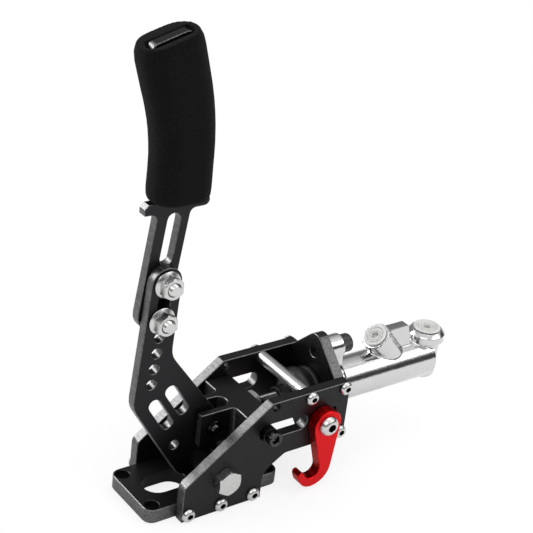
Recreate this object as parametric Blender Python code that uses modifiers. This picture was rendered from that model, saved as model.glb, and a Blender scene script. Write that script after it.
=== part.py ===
"""Hydraulic parking brake lever: an upright lever between two side plates that works a master cylinder.

Metres, +Z up. The origin lies under the main pivot, in the middle of the base plate's underside.
+X points from the lever to the master cylinder and -Y is the side that carries the parking hook.
"""

import math

import bmesh
import bpy
from mathutils import Matrix, Vector

# Fits
FIT = 0.0003                     # gap left between pieces that touch
ARC_SAG = 0.00014                # how far a facet may lie inside its arc
EDGE_BREAK = 0.0004              # small chamfer along the edges of the machined plates
WELD = 0.00001                   # vertices nearer than this are one

# Frame: base plate and side plates
PLATE_GAP = 0.050                # between the inner faces of the side plates
SIDE_THICKNESS = 0.0075
BASE_LENGTH = 0.102
BASE_THICKNESS = 0.010
BASE_CORNER = 0.0064
BASE_HOLE_DIAMETER = 0.0095
BASE_OPENING_WIDTH = 0.020
BASE_OPENING_FROM = -0.040
BASE_OPENING_TO = -0.009
BASE_SCREW_PITCH = 0.025
BASE_SCREW_MIDDLE = -0.001
# Heights and places of the working axes
PIVOT_HEIGHT = 0.0246
AXIS_HEIGHT = 0.051              # clevis, guide slot, pushrod and cylinder
CLEVIS_X = 0.0023
GUIDE_X = 0.0303
GUIDE_SLOT_END = 0.0624
LEVER_SWING = math.radians(22)   # crosshead travel follows the lever: 28.25 mm for each radian

# Side plates
SIDE_FRONT = BASE_SCREW_MIDDLE - BASE_SCREW_PITCH - 0.0045
SIDE_FRONT_HEIGHT = 0.0284
SIDE_FRONT_CORNER = 0.005
SIDE_REAR = 0.0955
SIDE_TOP = AXIS_HEIGHT + 0.0212
SIDE_TOP_FRONT = 0.0315
SIDE_TOP_CORNER = 0.002
SIDE_FOOT_REAR = BASE_SCREW_MIDDLE + BASE_SCREW_PITCH + 0.0067
SIDE_BELLY = AXIS_HEIGHT - 0.021  # height of the edge under the rear half
SIDE_BELLY_START = SIDE_FOOT_REAR + 0.0172
SIDE_BELLY_CORNER = 0.003
SIDE_NOTCH_RADIUS = 0.012        # hollow behind the foot
SIDE_NOTCH_HEIGHT = SIDE_BELLY - 0.017
SIDE_REAR_CORNER = 0.006
SPARE_HOLE_IN = 0.004            # tapped hole at the top front corner, from both edges

# Fasteners
M5_RADIUS = 0.0025
M5_HEAD_RADIUS = 0.00475
M5_HEAD_HEIGHT = 0.00275
M5_LENGTH = 0.017
M6_RADIUS = 0.003
M8_RADIUS = 0.004
M10_RADIUS = 0.005
M8_HEAD_RADIUS = 0.0065
M8_HEAD_HEIGHT = 0.008
M6_HEAD_RADIUS = 0.00515
M6_HEAD_HEIGHT = 0.0057
M6_ACROSS = 0.010
M6_THIN_NUT = 0.0035
M8_ACROSS = 0.013
M10_ACROSS = 0.016
M6_SOCKET = 0.005
M8_SOCKET = 0.006
SOCKET_SHARE = 0.55              # depth of a hexagon socket in its head
HEAD_DOME = ((0, 0), (0.62, 0.15), (0.88, 0.5), (1, 1))  # shares of a head's radius and of its crown
BUTTON_CROWN = 0.8               # crowns, as shares of the head's height
CAP_CROWN = 0.08
FLANGE_NUT_RADIUS = 0.00895
FLANGE_NUT_HEIGHT = 0.008
FLANGE_HEIGHT = 0.0018
FLANGE_SLOPE = 0.0012
M8_BOLT_HEAD = 0.0053
M10_BOLT_HEAD = 0.0064
M10_NUT = 0.008
M10_BEYOND_FRAME = 0.010
BOLT_BEYOND_NUT = 0.002
BORE_OVERRUN = 0.001             # how far a drill passes the face it starts from
CROSSBAR_X = 0.0636
CROSSBAR_HEIGHT = SIDE_TOP - 0.0044
CROSSBAR_RADIUS = 0.0043

# Lever and handle
LEVER_THICKNESS = 0.0065
LEVER_LOBE = 0.0136
LEVER_TOP = Vector((-0.0372, 0.160))
HANDLE_FOOT = Vector((-0.0393, 0.1355))
LEVER_TOP_RADIUS = 0.01075
LEVER_KNEE = (-0.0365, 0.0806, 0.018)
LEVER_HEEL = (-0.0100, 0.0232, 0.010)
LEVER_HOLLOW = (-0.0140, 0.1128, -0.015)
LEVER_CLEVIS_RADIUS = 0.009
LIGHTENING_SLOTS = (((-0.0384, 0.0736), (-0.0284, 0.0578)), ((-0.0270, 0.0810), (-0.0175, 0.0660)))
LIGHTENING_RADIUS = 0.0044
SPRING_HOLE = (-0.0216, 0.0394, 0.0035)
HANDLE_END = HANDLE_FOOT + Vector((-0.0014, 0.0015))
HANDLE_END_RADIUS = 0.0113
HANDLE_SLOT = ((-0.0350, 0.1735), (-0.0317, 0.1987))
HANDLE_SLOT_RADIUS = 0.0045
BUSH_RADIUS = 0.0070
SPACER_RADIUS = 0.008
PIN_PLAY = 0.0004                # each side of the clevis bolt in the lever's slot
ADJUST_HOLE = 0.0036
ADJUST_TOP = Vector((-0.0396, 0.1233))
ADJUST_STEP = Vector((-0.00097, -0.011))
ADJUST_COUNT = 4
GUARD_TOP = 0.2114
GUARD_RADIUS = 0.0035
GUARD_LEFT = -0.0527
GUARD_RIGHT = -0.0071
GUARD_BEVEL = 0.0026
GUARD_CORNER = 0.001
GUARD_NOTCH = 0.004              # radius of the hollows under the guard
GUARD_NOTCH_LEFT = GUARD_LEFT + 0.0047
GUARD_NOTCH_RIGHT = GUARD_RIGHT - 0.0096
GRIP_X = -0.0285
GRIP_BEND_HEIGHT = GUARD_TOP + 0.0266
GRIP_BEND_RADIUS = 0.168
GRIP_LEAN = math.radians(16)
GRIP_LENGTH = 0.1035
GRIP_DEPTH = 0.040
GRIP_WIDTH = 0.0285
GRIP_SQUARENESS = 2.6            # exponent of the section, 2 for an ellipse
GRIP_SIDES = 20
# Distance up the grip, share of the full section, and what the lever side swells by
GRIP_STATIONS = (
    (0, 0.93, 0), (0.0025, 0.985, 0), (0.007, 1, 0), (0.028, 0.985, 0), (0.045, 0.985, 0.001),
    (0.060, 0.985, 0.0018), (0.076, 0.985, 0.0025), (0.094, 0.985, 0.0028), (0.100, 0.955, 0.0026),
    (GRIP_LENGTH, 0.87, 0.002),
)
MOUTH_DEPTH = 0.008              # wider mouth of the grip, where the foam stands off the tang
MOUTH_WIDTH = 0.010
MOUTH_Y = 0.0052
MOUTH_LENGTH = 0.0296
TANG_WIDTH = 0.028
TANG_CORNER = 0.004
TANG_INSET = 0.0004              # the tang's end lies this far inside the grip's end

# Crosshead
YOKE_FRONT = -0.0067
YOKE_SHOULDER = 0.0185
YOKE_REAR = 0.0375
YOKE_HEIGHT = 0.020
YOKE_WIDTH = 0.0206
YOKE_FILLET = 0.003
YOKE_SIDE_PLAY = 0.0006
YOKE_SLOT_WIDTH = 0.0112
YOKE_SLOT_END = 0.0187
CLEVIS_SPACER_RADIUS = 0.005
CLEVIS_HEAD = 0.004
CLEVIS_BEYOND = 0.005            # clevis bolt beyond the yoke's near face
GUIDE_SCREW_DEPTH = 0.012        # guide screw in the yoke
BUSH_REACH = 0.004               # guide bush beyond the side plate
GUIDE_BUSH_RADIUS = 0.00535
PUSHROD_IN_YOKE = 0.010
LOCK_NUT_HEIGHT = 0.005

# Cylinder end
BRACKET_THICKNESS = 0.008
BRACKET_SCREW_RISE = 0.017
BRACKET_TIP_RISE = 0.0416
BRACKET_TIP_RADIUS = 0.0077
BRACKET_CORNER = 0.001
CYLINDER_BOLT_RISE = 0.0285
FLANGE_THICKNESS = 0.0127
FLANGE_EAR = 0.0085
FLANGE_BODY = 0.0165             # round middle of the flange
FLANGE_WAIST = 0.012             # radius of the hollows beside the ears
CYLINDER_RADIUS = 0.015
NOSE_RADIUS = 0.013
NOSE_REACH = 0.004               # nose in front of the bracket
BORE_RADIUS = 0.0095
BORE_END = 0.172
CYLINDER_END = 0.1895            # axis of the outlet boss, which closes the cylinder
OUTLET_BOSS_RADIUS = 0.0105
OUTLET_FOOT_BEVEL = 0.003
OUTLET_DISC_RADIUS = 0.0134
OUTLET_DISC_HEIGHT = 0.0078
OUTLET_DISC_BEVEL = 0.0026
OUTLET_TOP = AXIS_HEIGHT + 0.022
INLET_RADIUS = 0.01025
INLET_TILT = math.radians(39.4)
INLET_X = 0.1636                 # where the inlet boss's axis crosses the cylinder's
INLET_REACH = 0.0350
WEB_THICKNESS = 0.0075           # block behind the inlet boss
WEB_TOP = AXIS_HEIGHT + 0.031
WEB_FRONT = 0.148
WEB_REAR = 0.168
WEB_FOOT = 0.1738
WEB_FOOT_RISE = 0.013
PLUG_RADIUS = 0.0065
PLUG_DEPTH = 0.006
PLUG_FLANGE = 0.0012
OUTLET_PLUG_HEAD = 0.0097
INLET_PLUG_HEAD = 0.0083
PLUG_RECESS = 0.005
PLUG_RECESS_DEPTH = 0.003

# Inside the cylinder
RING_SETBACK = 0.0015
RING_THICKNESS = 0.0012
RING_INNER = 0.0052
RING_GROOVE = 0.0012
PISTON_FRONT = 0.089
PISTON_LENGTH = 0.026
PISTON_NOSE_RADIUS = 0.0045
PISTON_NOSE_LENGTH = 0.005
CUP_CONE = 0.0021                # height of the sloping seat under the ball
CUP_FLAT = 0.0032
SEAL_INNER = 0.0065
SEAL_WIDTH = 0.004
SEAL_SETBACK = 0.005
BALL_RADIUS = 0.0046
BALL_INSET = 0.0005
PUSHROD_NECK = 0.0028
PUSHROD_NECK_REACH = 0.007       # neck in front of the piston
PUSHROD_TAPER = 0.001
SPRING_TURNS = 5
SPRING_WIRE = 0.0009
SPRING_COIL = 0.0066

# Boot
BOOT_FRONT = 0.0595
BOOT_RADIUS = 0.017
BOOT_BELLY_X = 0.0763
BOOT_BELLY_LENGTH = 0.011        # half the length of the round belly
BOOT_WALL = 0.0018
BOOT_ARC_STEPS = 8

# Parking hook
HOOK_PIVOT = Vector((0.0738, AXIS_HEIGHT - 0.0024))
HOOK_THICKNESS = 0.008
HOOK_LOBE = 0.0108
HOOK_HEAD_RADIUS = 0.007
HOOK_HEAD_HEIGHT = 0.0044
HOOK_SCREW_SOCKET = 0.005
HOOK_SCREW_CROWN = 0.85
HOOK_CATCH = HOOK_PIVOT + Vector((-0.0085, -0.0331))
HOOK_CATCH_RADIUS = 0.0062
# Tip and back of the hook: place from the middle of its catch, and radius
HOOK_ROUNDS = ((-0.0086, -0.0018, 0.0022), (0.0009, -0.0020, 0.0113), (0.0012, 0.0013, 0.0144))
HOOK_STOP = HOOK_PIVOT + Vector((0.0097, 0.0039))
HOOK_STOP_RADIUS = 0.0033

# Places worked out from the sizes above
INNER = PLATE_GAP / 2
OUTER = INNER + SIDE_THICKNESS
BRACKET_FRONT = SIDE_REAR - BRACKET_THICKNESS
FLANGE_FRONT = SIDE_REAR + FIT
FLANGE_REAR = FLANGE_FRONT + FLANGE_THICKNESS
NOSE_FRONT = BRACKET_FRONT - NOSE_REACH
HANDLE_Y = LEVER_THICKNESS + FIT
GRIP_BOTTOM = GUARD_TOP + FIT
GRIP_ARC_START = GRIP_BEND_HEIGHT - GRIP_BOTTOM
GRIP_ARC_LENGTH = GRIP_BEND_RADIUS * GRIP_LEAN

FACING = {
    "X": Matrix.Rotation(math.pi / 2, 4, "Z") @ Matrix.Rotation(math.pi / 2, 4, "X"),
    "Y": Matrix.Rotation(math.pi / 2, 4, "X"),
    "Z": Matrix.Identity(4),
}
ALONG = {
    "X": Matrix.Rotation(math.pi / 2, 4, "Y"),
    "-X": Matrix.Rotation(-math.pi / 2, 4, "Y"),
    "Y": Matrix.Rotation(-math.pi / 2, 4, "X"),
    "-Y": Matrix.Rotation(math.pi / 2, 4, "X"),
    "Z": Matrix.Identity(4),
}


def clear_scene():
    for obj in list(bpy.data.objects):
        bpy.data.objects.remove(obj)


def new_collection(name):
    collection = bpy.data.collections.new(name)
    bpy.context.scene.collection.children.link(collection)
    return collection


clear_scene()
PARTS = new_collection("parking_brake_lever")
CUTTERS = new_collection("cutters")


def material(name, colour, roughness, metallic):
    mat = bpy.data.materials.new(name)
    mat.use_nodes = True
    shader = mat.node_tree.nodes["Principled BSDF"]
    shader.inputs["Base Color"].default_value = (*colour, 1)
    shader.inputs["Roughness"].default_value = roughness
    shader.inputs["Metallic"].default_value = metallic
    return mat


def finish(obj, colour, roughness, metallic):
    """Gives a finished piece its own material and puts it with the parts."""
    obj.data.materials.clear()
    obj.data.materials.append(material(obj.name, colour, roughness, metallic))
    for collection in list(obj.users_collection):
        collection.objects.unlink(obj)
    PARTS.objects.link(obj)
    return obj


def black_anodised(obj):
    return finish(obj, (0.02, 0.02, 0.022), 0.45, 0.6)


def bright_steel(obj):
    return finish(obj, (0.62, 0.61, 0.6), 0.28, 1.0)


def black_steel(obj):
    return finish(obj, (0.025, 0.025, 0.027), 0.4, 0.8)


def polished_aluminium(obj):
    return finish(obj, (0.8, 0.8, 0.8), 0.25, 1.0)


def rubber(obj):
    return finish(obj, (0.02, 0.02, 0.02), 0.7, 0.0)


def white_plastic(obj):
    return finish(obj, (0.75, 0.75, 0.7), 0.45, 0.0)


def ridden(empty, *objects):
    """Parents pieces to the empty on their joint's axis, where they are."""
    bpy.context.view_layer.update()
    for obj in objects:
        obj.parent = empty
        obj.matrix_parent_inverse = empty.matrix_world.inverted()


def joint_axis(name, x, z):
    empty = bpy.data.objects.new(name, None)
    empty.location = (x, 0, z)
    PARTS.objects.link(empty)
    return empty


def belt(discs, grow=0.0):
    """Outline drawn by a belt that runs anticlockwise round discs (x, y, radius).

    A negative radius puts the disc outside the outline, for a hollow, and radius 0 is a sharp corner.
    """
    discs = [(Vector((x, y)), radius + grow) for x, y, radius in discs]
    headings = []
    for (start, first), (end, second) in zip(discs, discs[1:] + discs[:1]):
        run = end - start
        headings.append(math.atan2(run.y, run.x) - math.asin((second - first) / run.length))
    points = []
    for i, (centre, radius) in enumerate(discs):
        turn = (headings[i] - headings[i - 1]) % (2 * math.pi)
        if radius < 0:
            turn -= 2 * math.pi
        if radius == 0:
            points.append(tuple(centre))
            continue
        pitch = 2 * math.acos(1 - min(ARC_SAG / abs(radius), 0.15))
        count = max(1, math.ceil(abs(turn) / pitch))
        for k in range(count + 1):
            heading = headings[i - 1] + turn * k / count
            normal = Vector((-math.sin(heading), math.cos(heading)))
            points.append(tuple(centre - radius * normal))
    return points


def circle(x, y, radius):
    count = max(8, math.ceil(math.pi / math.acos(1 - ARC_SAG / radius)))
    angles = [2 * math.pi * k / count for k in range(count)]
    return [(x + radius * math.cos(a), y + radius * math.sin(a)) for a in angles]


def slot(start, end, radius):
    return belt([(start[0], start[1], radius), (end[0], end[1], radius)])


def evaluated_mesh(obj):
    bpy.context.view_layer.update()
    return bpy.data.meshes.new_from_object(obj.evaluated_get(bpy.context.evaluated_depsgraph_get()))


def welded(mesh):
    """The same mesh with its caps joined to its sides and its normals outwards."""
    bm = bmesh.new()
    bm.from_mesh(mesh)
    bmesh.ops.remove_doubles(bm, verts=bm.verts, dist=WELD)
    bmesh.ops.recalc_face_normals(bm, faces=bm.faces)
    bm.to_mesh(mesh)
    bm.free()
    return mesh


def from_mesh(name, mesh, matrix):
    obj = bpy.data.objects.new(name, mesh)
    obj.matrix_world = matrix
    PARTS.objects.link(obj)
    return obj


def plate(name, outline, holes, thickness, centre, facing="Y", edge=EDGE_BREAK):
    """Flat piece cut to an outline, with through holes and a broken edge.

    centre is the world place of the outline's own origin, halfway through the thickness.
    """
    curve = bpy.data.curves.new(name, "CURVE")
    curve.dimensions = "2D"
    curve.fill_mode = "BOTH"
    curve.extrude = thickness / 2 - edge
    curve.bevel_depth = edge
    curve.bevel_resolution = 0
    curve.offset = -edge
    for loop in [outline] + [hole[::-1] for hole in holes]:
        spline = curve.splines.new("POLY")
        spline.points.add(len(loop) - 1)
        spline.use_cyclic_u = True
        for point, (x, y) in zip(spline.points, loop):
            point.co = (x, y, 0, 1)
    drawn = bpy.data.objects.new(name + "_curve", curve)
    drawn.matrix_world = Matrix.Translation(centre) @ FACING[facing]
    PARTS.objects.link(drawn)
    obj = from_mesh(name, welded(evaluated_mesh(drawn)), drawn.matrix_world)
    bpy.data.objects.remove(drawn)
    return obj


def turned(name, profile, place, along="Z", steps=16, ring=False):
    """Piece turned about its own Z: profile (radius, height) runs down the outer side."""
    mesh = bpy.data.meshes.new(name)
    count = len(profile)
    edges = [(k, k + 1) for k in range(count - 1)]
    if ring:
        edges.append((count - 1, 0))
    mesh.from_pydata([(r, 0, z) for r, z in profile], edges, [])
    obj = from_mesh(name, mesh, Matrix.Translation(place) @ ALONG[along])
    screw = obj.modifiers.new("turn", "SCREW")
    screw.axis = "Z"
    screw.steps = steps
    screw.render_steps = steps
    screw.use_merge_vertices = True
    screw.merge_threshold = WELD
    return obj


def rod(name, radius, start, end, along="Z", steps=20):
    """Plain round bar between two points on a line parallel to an axis."""
    length = (Vector(end) - Vector(start)).length
    return turned(name, [(0, length), (radius, length), (radius, 0), (0, 0)], start, along, steps)


def tube(name, outer, inner, start, length, along="Z", steps=20):
    profile = [(outer, length), (outer, 0), (inner, 0), (inner, length)]
    return turned(name, profile, start, along, steps, ring=True)


def hexagon(name, across, height, place, along="Z"):
    bpy.ops.mesh.primitive_cone_add(vertices=6, radius1=across / math.sqrt(3),
                                    radius2=across / math.sqrt(3), depth=height)
    obj = bpy.context.object
    obj.name = name
    obj.data.transform(Matrix.Translation((0, 0, height / 2)))
    obj.matrix_world = Matrix.Translation(place) @ ALONG[along]
    return obj


def as_tool(obj):
    for collection in list(obj.users_collection):
        collection.objects.unlink(obj)
    CUTTERS.objects.link(obj)
    obj.hide_render = True
    obj.display_type = "WIRE"
    return obj


def combine(obj, tool, operation):
    boolean = obj.modifiers.new(operation.lower(), "BOOLEAN")
    boolean.operation = operation
    boolean.object = as_tool(tool)
    return obj


def cut(obj, *tools):
    for tool in tools:
        combine(obj, tool, "DIFFERENCE")
    return obj


def fuse(obj, *tools):
    for tool in tools:
        combine(obj, tool, "UNION")
    return obj


def repeated(name, pattern, places):
    """Objects that share the pattern's mesh, one at each place; so they share its finish too."""
    mesh = evaluated_mesh(pattern)
    bpy.data.objects.remove(pattern)
    return [from_mesh(f"{name}_{suffix}", mesh, matrix) for suffix, matrix in places.items()]


def smooth(obj, angle=35):
    obj.data.shade_smooth()
    obj.data.set_sharp_from_angle(angle=math.radians(angle))
    return obj


def finish_set(paint, copies):
    paint(smooth(copies[0]))
    return copies


def near_and_far(x, y, z):
    """The same place on both sides of the middle plane, each facing outwards."""
    return {"near": place_at(x, -y, z, "-Y"), "far": place_at(x, y, z, "Y")}


def place_at(x, y, z, along):
    return Matrix.Translation((x, y, z)) @ ALONG[along]


def screw_profile(head_radius, head_height, shank_radius, length, crown):
    """Head above z = 0 and shank below it; crown is the height of the head's domed part."""
    dome = [(head_radius * across, head_height - crown * drop) for across, drop in HEAD_DOME]
    return dome + [(head_radius, 0), (shank_radius, 0), (shank_radius, -length), (0, -length)]


def button_screw(steps=12):
    crown = M5_HEAD_HEIGHT * BUTTON_CROWN
    profile = screw_profile(M5_HEAD_RADIUS, M5_HEAD_HEIGHT, M5_RADIUS, M5_LENGTH, crown)
    return turned("button_screw", profile, (0, 0, 0), steps=steps)


def cap_screw(name, head_radius, head_height, shank_radius, length, across):
    """Socket head cap screw on the Z axis, its head's underside at the origin."""
    profile = screw_profile(head_radius, head_height, shank_radius, length, head_height * CAP_CROWN)
    screw = turned(name, profile, (0, 0, 0), steps=20)
    depth = head_height * SOCKET_SHARE
    socket = hexagon(name + "_socket", across, depth + EDGE_BREAK, (0, 0, head_height - depth))
    return cut(screw, socket)


def hex_bolt(name, across, head_height, shank_radius, length, place, along):
    bolt = hexagon(name, across, head_height, place, along)
    reach = Matrix.Translation(place) @ ALONG[along] @ Vector((0, 0, -length))
    return fuse(bolt, rod(name + "_shank", shank_radius, reach, place, along, steps=16))


def base_plate():
    half_length = BASE_LENGTH / 2
    half_width = INNER - FIT
    corner_x = half_length - BASE_CORNER
    corner_y = half_width - BASE_CORNER
    corners = [(corner_x, -corner_y), (corner_x, corner_y), (-corner_x, corner_y), (-corner_x, -corner_y)]
    outline = belt([(x, y, BASE_CORNER) for x, y in corners])
    half_opening = BASE_OPENING_WIDTH / 2
    opening = slot((BASE_OPENING_FROM + half_opening, 0), (BASE_OPENING_TO - half_opening, 0), half_opening)
    holes = [circle(x, y, BASE_HOLE_DIAMETER / 2) for x, y in corners]
    base = plate("base_plate", outline, holes + [opening], BASE_THICKNESS,
                 (0, 0, BASE_THICKNESS / 2), "Z")
    depth = M5_LENGTH - SIDE_THICKNESS + FIT
    for x in base_screw_places():
        for side in (-1, 1):
            y = side * (half_width - depth)
            along = "Y" if side > 0 else "-Y"
            drill = rod("base_drill", M5_RADIUS + FIT, (x, y, BASE_THICKNESS / 2),
                        (x, y + side * (depth + EDGE_BREAK), BASE_THICKNESS / 2), along, steps=12)
            cut(base, drill)
    return black_anodised(base)


def base_screw_places():
    return [BASE_SCREW_MIDDLE + k * BASE_SCREW_PITCH for k in (-1, 0, 1)]


def bracket_screw_places():
    middle = (BRACKET_FRONT + SIDE_REAR) / 2
    return [(middle, AXIS_HEIGHT + rise) for rise in (-BRACKET_SCREW_RISE, BRACKET_SCREW_RISE)]


def side_outline():
    foot_corner = EDGE_BREAK
    return belt([
        (SIDE_FRONT + foot_corner, foot_corner, foot_corner),
        (SIDE_FOOT_REAR - foot_corner, foot_corner, foot_corner),
        (SIDE_FOOT_REAR + SIDE_NOTCH_RADIUS, SIDE_NOTCH_HEIGHT, -SIDE_NOTCH_RADIUS),
        (SIDE_BELLY_START, SIDE_BELLY - SIDE_BELLY_CORNER, -SIDE_BELLY_CORNER),
        (SIDE_REAR - SIDE_REAR_CORNER, SIDE_BELLY + SIDE_REAR_CORNER, SIDE_REAR_CORNER),
        (SIDE_REAR - SIDE_TOP_CORNER, SIDE_TOP - SIDE_TOP_CORNER, SIDE_TOP_CORNER),
        (SIDE_TOP_FRONT + SIDE_TOP_CORNER, SIDE_TOP - SIDE_TOP_CORNER, SIDE_TOP_CORNER),
        (SIDE_FRONT + SIDE_FRONT_CORNER, SIDE_FRONT_HEIGHT - SIDE_FRONT_CORNER, SIDE_FRONT_CORNER),
    ])


def guide_slot():
    radius = GUIDE_BUSH_RADIUS + FIT
    return slot((GUIDE_X - 2 * FIT, AXIS_HEIGHT), (GUIDE_SLOT_END - radius, AXIS_HEIGHT), radius)


def side_plate(name, side):
    screw_hole = M5_RADIUS + FIT
    holes = [circle(x, BASE_THICKNESS / 2, screw_hole) for x in base_screw_places()]
    holes += [circle(x, z, screw_hole) for x, z in bracket_screw_places()]
    holes.append(circle(CROSSBAR_X, CROSSBAR_HEIGHT, screw_hole))
    holes.append(circle(SIDE_TOP_FRONT + SPARE_HOLE_IN, SIDE_TOP - SPARE_HOLE_IN, screw_hole))
    holes.append(circle(0, PIVOT_HEIGHT, M10_RADIUS + FIT))
    holes.append(guide_slot())
    if side < 0:
        holes.append(circle(HOOK_PIVOT.x, HOOK_PIVOT.y, M8_RADIUS + FIT))
        holes.append(circle(HOOK_STOP.x, HOOK_STOP.y, HOOK_STOP_RADIUS))
    centre = (0, side * (INNER + SIDE_THICKNESS / 2), 0)
    return black_anodised(plate(name, side_outline(), holes, SIDE_THICKNESS, centre))


def screws_through_sides(name, places):
    spots = {}
    for number, (x, z) in enumerate(places, 1):
        for side, matrix in near_and_far(x, OUTER + FIT, z).items():
            spots[f"{side}_{number}"] = matrix
    return finish_set(bright_steel, repeated(name, button_screw(), spots))


def crossbar():
    length = PLATE_GAP - 2 * FIT
    start = (CROSSBAR_X, -length / 2, CROSSBAR_HEIGHT)
    return bright_steel(tube("crossbar", CROSSBAR_RADIUS, M5_RADIUS + FIT, start, length, "Y", steps=18))


def bracket_outline():
    """Upright outline in Y and Z about the cylinder's axis, the same above and below."""
    half_width = INNER - FIT
    shoulder = SIDE_TOP - AXIS_HEIGHT
    upper = [
        (half_width - BRACKET_CORNER, shoulder - BRACKET_CORNER, BRACKET_CORNER),
        (0, BRACKET_TIP_RISE - BRACKET_TIP_RADIUS, BRACKET_TIP_RADIUS),
        (-half_width + BRACKET_CORNER, shoulder - BRACKET_CORNER, BRACKET_CORNER),
    ]
    return belt(upper + [(-x, -y, r) for x, y, r in upper])


def cylinder_bracket():
    holes = [circle(0, rise, M8_RADIUS + FIT) for rise in (-CYLINDER_BOLT_RISE, CYLINDER_BOLT_RISE)]
    holes.append(circle(0, 0, NOSE_RADIUS + FIT))
    middle = (BRACKET_FRONT + SIDE_REAR) / 2
    bracket = plate("cylinder_bracket", bracket_outline(), holes, BRACKET_THICKNESS,
                    (middle, 0, AXIS_HEIGHT), "X")
    depth = M5_LENGTH - SIDE_THICKNESS + FIT
    for x, z in bracket_screw_places():
        for side in (-1, 1):
            start = side * (INNER - FIT - depth)
            along = "Y" if side > 0 else "-Y"
            drill = rod("bracket_drill", M5_RADIUS + FIT, (x, start, z),
                        (x, start + side * (depth + EDGE_BREAK), z), along, steps=12)
            cut(bracket, drill)
    return black_anodised(bracket)


def lever_outline():
    return belt([
        (0, PIVOT_HEIGHT, LEVER_LOBE),
        (CLEVIS_X, AXIS_HEIGHT, LEVER_CLEVIS_RADIUS),
        LEVER_HOLLOW,
        (LEVER_TOP.x, LEVER_TOP.y, LEVER_TOP_RADIUS),
        LEVER_KNEE,
        LEVER_HEEL,
    ])


def clevis_slot():
    """Slot in the lever for the clevis bolt, which climbs along it as the lever swings."""
    arm = Vector((CLEVIS_X, AXIS_HEIGHT - PIVOT_HEIGHT))
    reach = arm.y / math.cos(LEVER_SWING + math.atan2(arm.x, arm.y)) - arm.length
    start = Vector((CLEVIS_X, AXIS_HEIGHT))
    return slot(start, start + arm.normalized() * (reach + FIT), M6_RADIUS + PIN_PLAY)


def lever_plate():
    holes = [
        circle(0, PIVOT_HEIGHT, BUSH_RADIUS + FIT),
        clevis_slot(),
        slot(HANDLE_FOOT, LEVER_TOP, M8_RADIUS + FIT),
        circle(*SPRING_HOLE),
    ]
    holes += [slot(*ends, LIGHTENING_RADIUS) for ends in LIGHTENING_SLOTS]
    for k in range(ADJUST_COUNT):
        spot = ADJUST_TOP + k * ADJUST_STEP
        holes.append(circle(spot.x, spot.y, ADJUST_HOLE))
    return black_anodised(plate("lever_plate", lever_outline(), holes, LEVER_THICKNESS, (0, 0, 0)))


def grip_axis(distance):
    """Point (x, z) and lean angle of the grip's centre line, a distance above its lower end."""
    bend = min(max(distance - GRIP_ARC_START, 0), GRIP_ARC_LENGTH)
    straight = max(distance - GRIP_ARC_START - GRIP_ARC_LENGTH, 0)
    lean = bend / GRIP_BEND_RADIUS
    x = GRIP_X - GRIP_BEND_RADIUS * (1 - math.cos(lean)) - straight * math.sin(lean)
    z = GRIP_BOTTOM + min(distance, GRIP_ARC_START)
    z += GRIP_BEND_RADIUS * math.sin(lean) + straight * math.cos(lean)
    return Vector((x, z)), lean


def tang_discs(half_width, foot, end):
    """Right and left edges of the strip inside the grip, which leans with it."""
    bend_x = GRIP_X - GRIP_BEND_RADIUS
    top, lean = grip_axis(end)
    across = Vector((math.cos(lean), math.sin(lean)))
    along = Vector((-math.sin(lean), math.cos(lean)))
    right = top + across * (half_width - TANG_CORNER) - along * TANG_CORNER
    left = top - across * (half_width - TANG_CORNER) - along * TANG_CORNER
    return [
        (GRIP_X + half_width, foot, 0),
        (bend_x, GRIP_BEND_HEIGHT, GRIP_BEND_RADIUS + half_width),
        (right.x, right.y, TANG_CORNER),
        (left.x, left.y, TANG_CORNER),
        (bend_x, GRIP_BEND_HEIGHT, half_width - GRIP_BEND_RADIUS),
        (GRIP_X - half_width, foot, 0),
    ]


def handle_outline():
    """Strip with a guard under the grip: bevelled at its lever end, round at the other."""
    guard_bottom = GUARD_TOP - 2 * GUARD_RADIUS
    return belt([
        (HANDLE_END.x, HANDLE_END.y, HANDLE_END_RADIUS),
        (GUARD_NOTCH_RIGHT, guard_bottom - GUARD_NOTCH, -GUARD_NOTCH),
        (GUARD_RIGHT - GUARD_RADIUS, GUARD_TOP - GUARD_RADIUS, GUARD_RADIUS),
        *tang_discs(TANG_WIDTH / 2, GUARD_TOP, GRIP_LENGTH - TANG_INSET),
        (GUARD_LEFT + GUARD_BEVEL, GUARD_TOP, 0),
        (GUARD_LEFT, GUARD_TOP - GUARD_BEVEL, 0),
        (GUARD_LEFT + GUARD_CORNER, guard_bottom + GUARD_CORNER, GUARD_CORNER),
        (GUARD_NOTCH_LEFT, guard_bottom - GUARD_NOTCH, -GUARD_NOTCH),
    ])


def handle_plate():
    holes = [
        circle(LEVER_TOP.x, LEVER_TOP.y, M8_RADIUS + FIT),
        circle(HANDLE_FOOT.x, HANDLE_FOOT.y, M8_RADIUS + FIT),
        slot(*HANDLE_SLOT, HANDLE_SLOT_RADIUS),
    ]
    return black_anodised(plate("handle_plate", handle_outline(), holes, LEVER_THICKNESS, (0, HANDLE_Y, 0)))


def grip_section(distance, share, swell):
    """One ring of the grip: a squared oval round the leaning centre line, swollen on the lever side."""
    centre, lean = grip_axis(distance)
    ring = []
    for k in range(GRIP_SIDES):
        angle = 2 * math.pi * k / GRIP_SIDES
        u, v = math.cos(angle), math.sin(angle)
        size = (abs(u) ** GRIP_SQUARENESS + abs(v) ** GRIP_SQUARENESS) ** (-1 / GRIP_SQUARENESS)
        across = share * GRIP_DEPTH / 2 * size * u - swell * (1 - u) / 2
        y = HANDLE_Y + share * GRIP_WIDTH / 2 * size * v
        ring.append((centre.x + across * math.cos(lean), y, centre.y + across * math.sin(lean)))
    return ring


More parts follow.
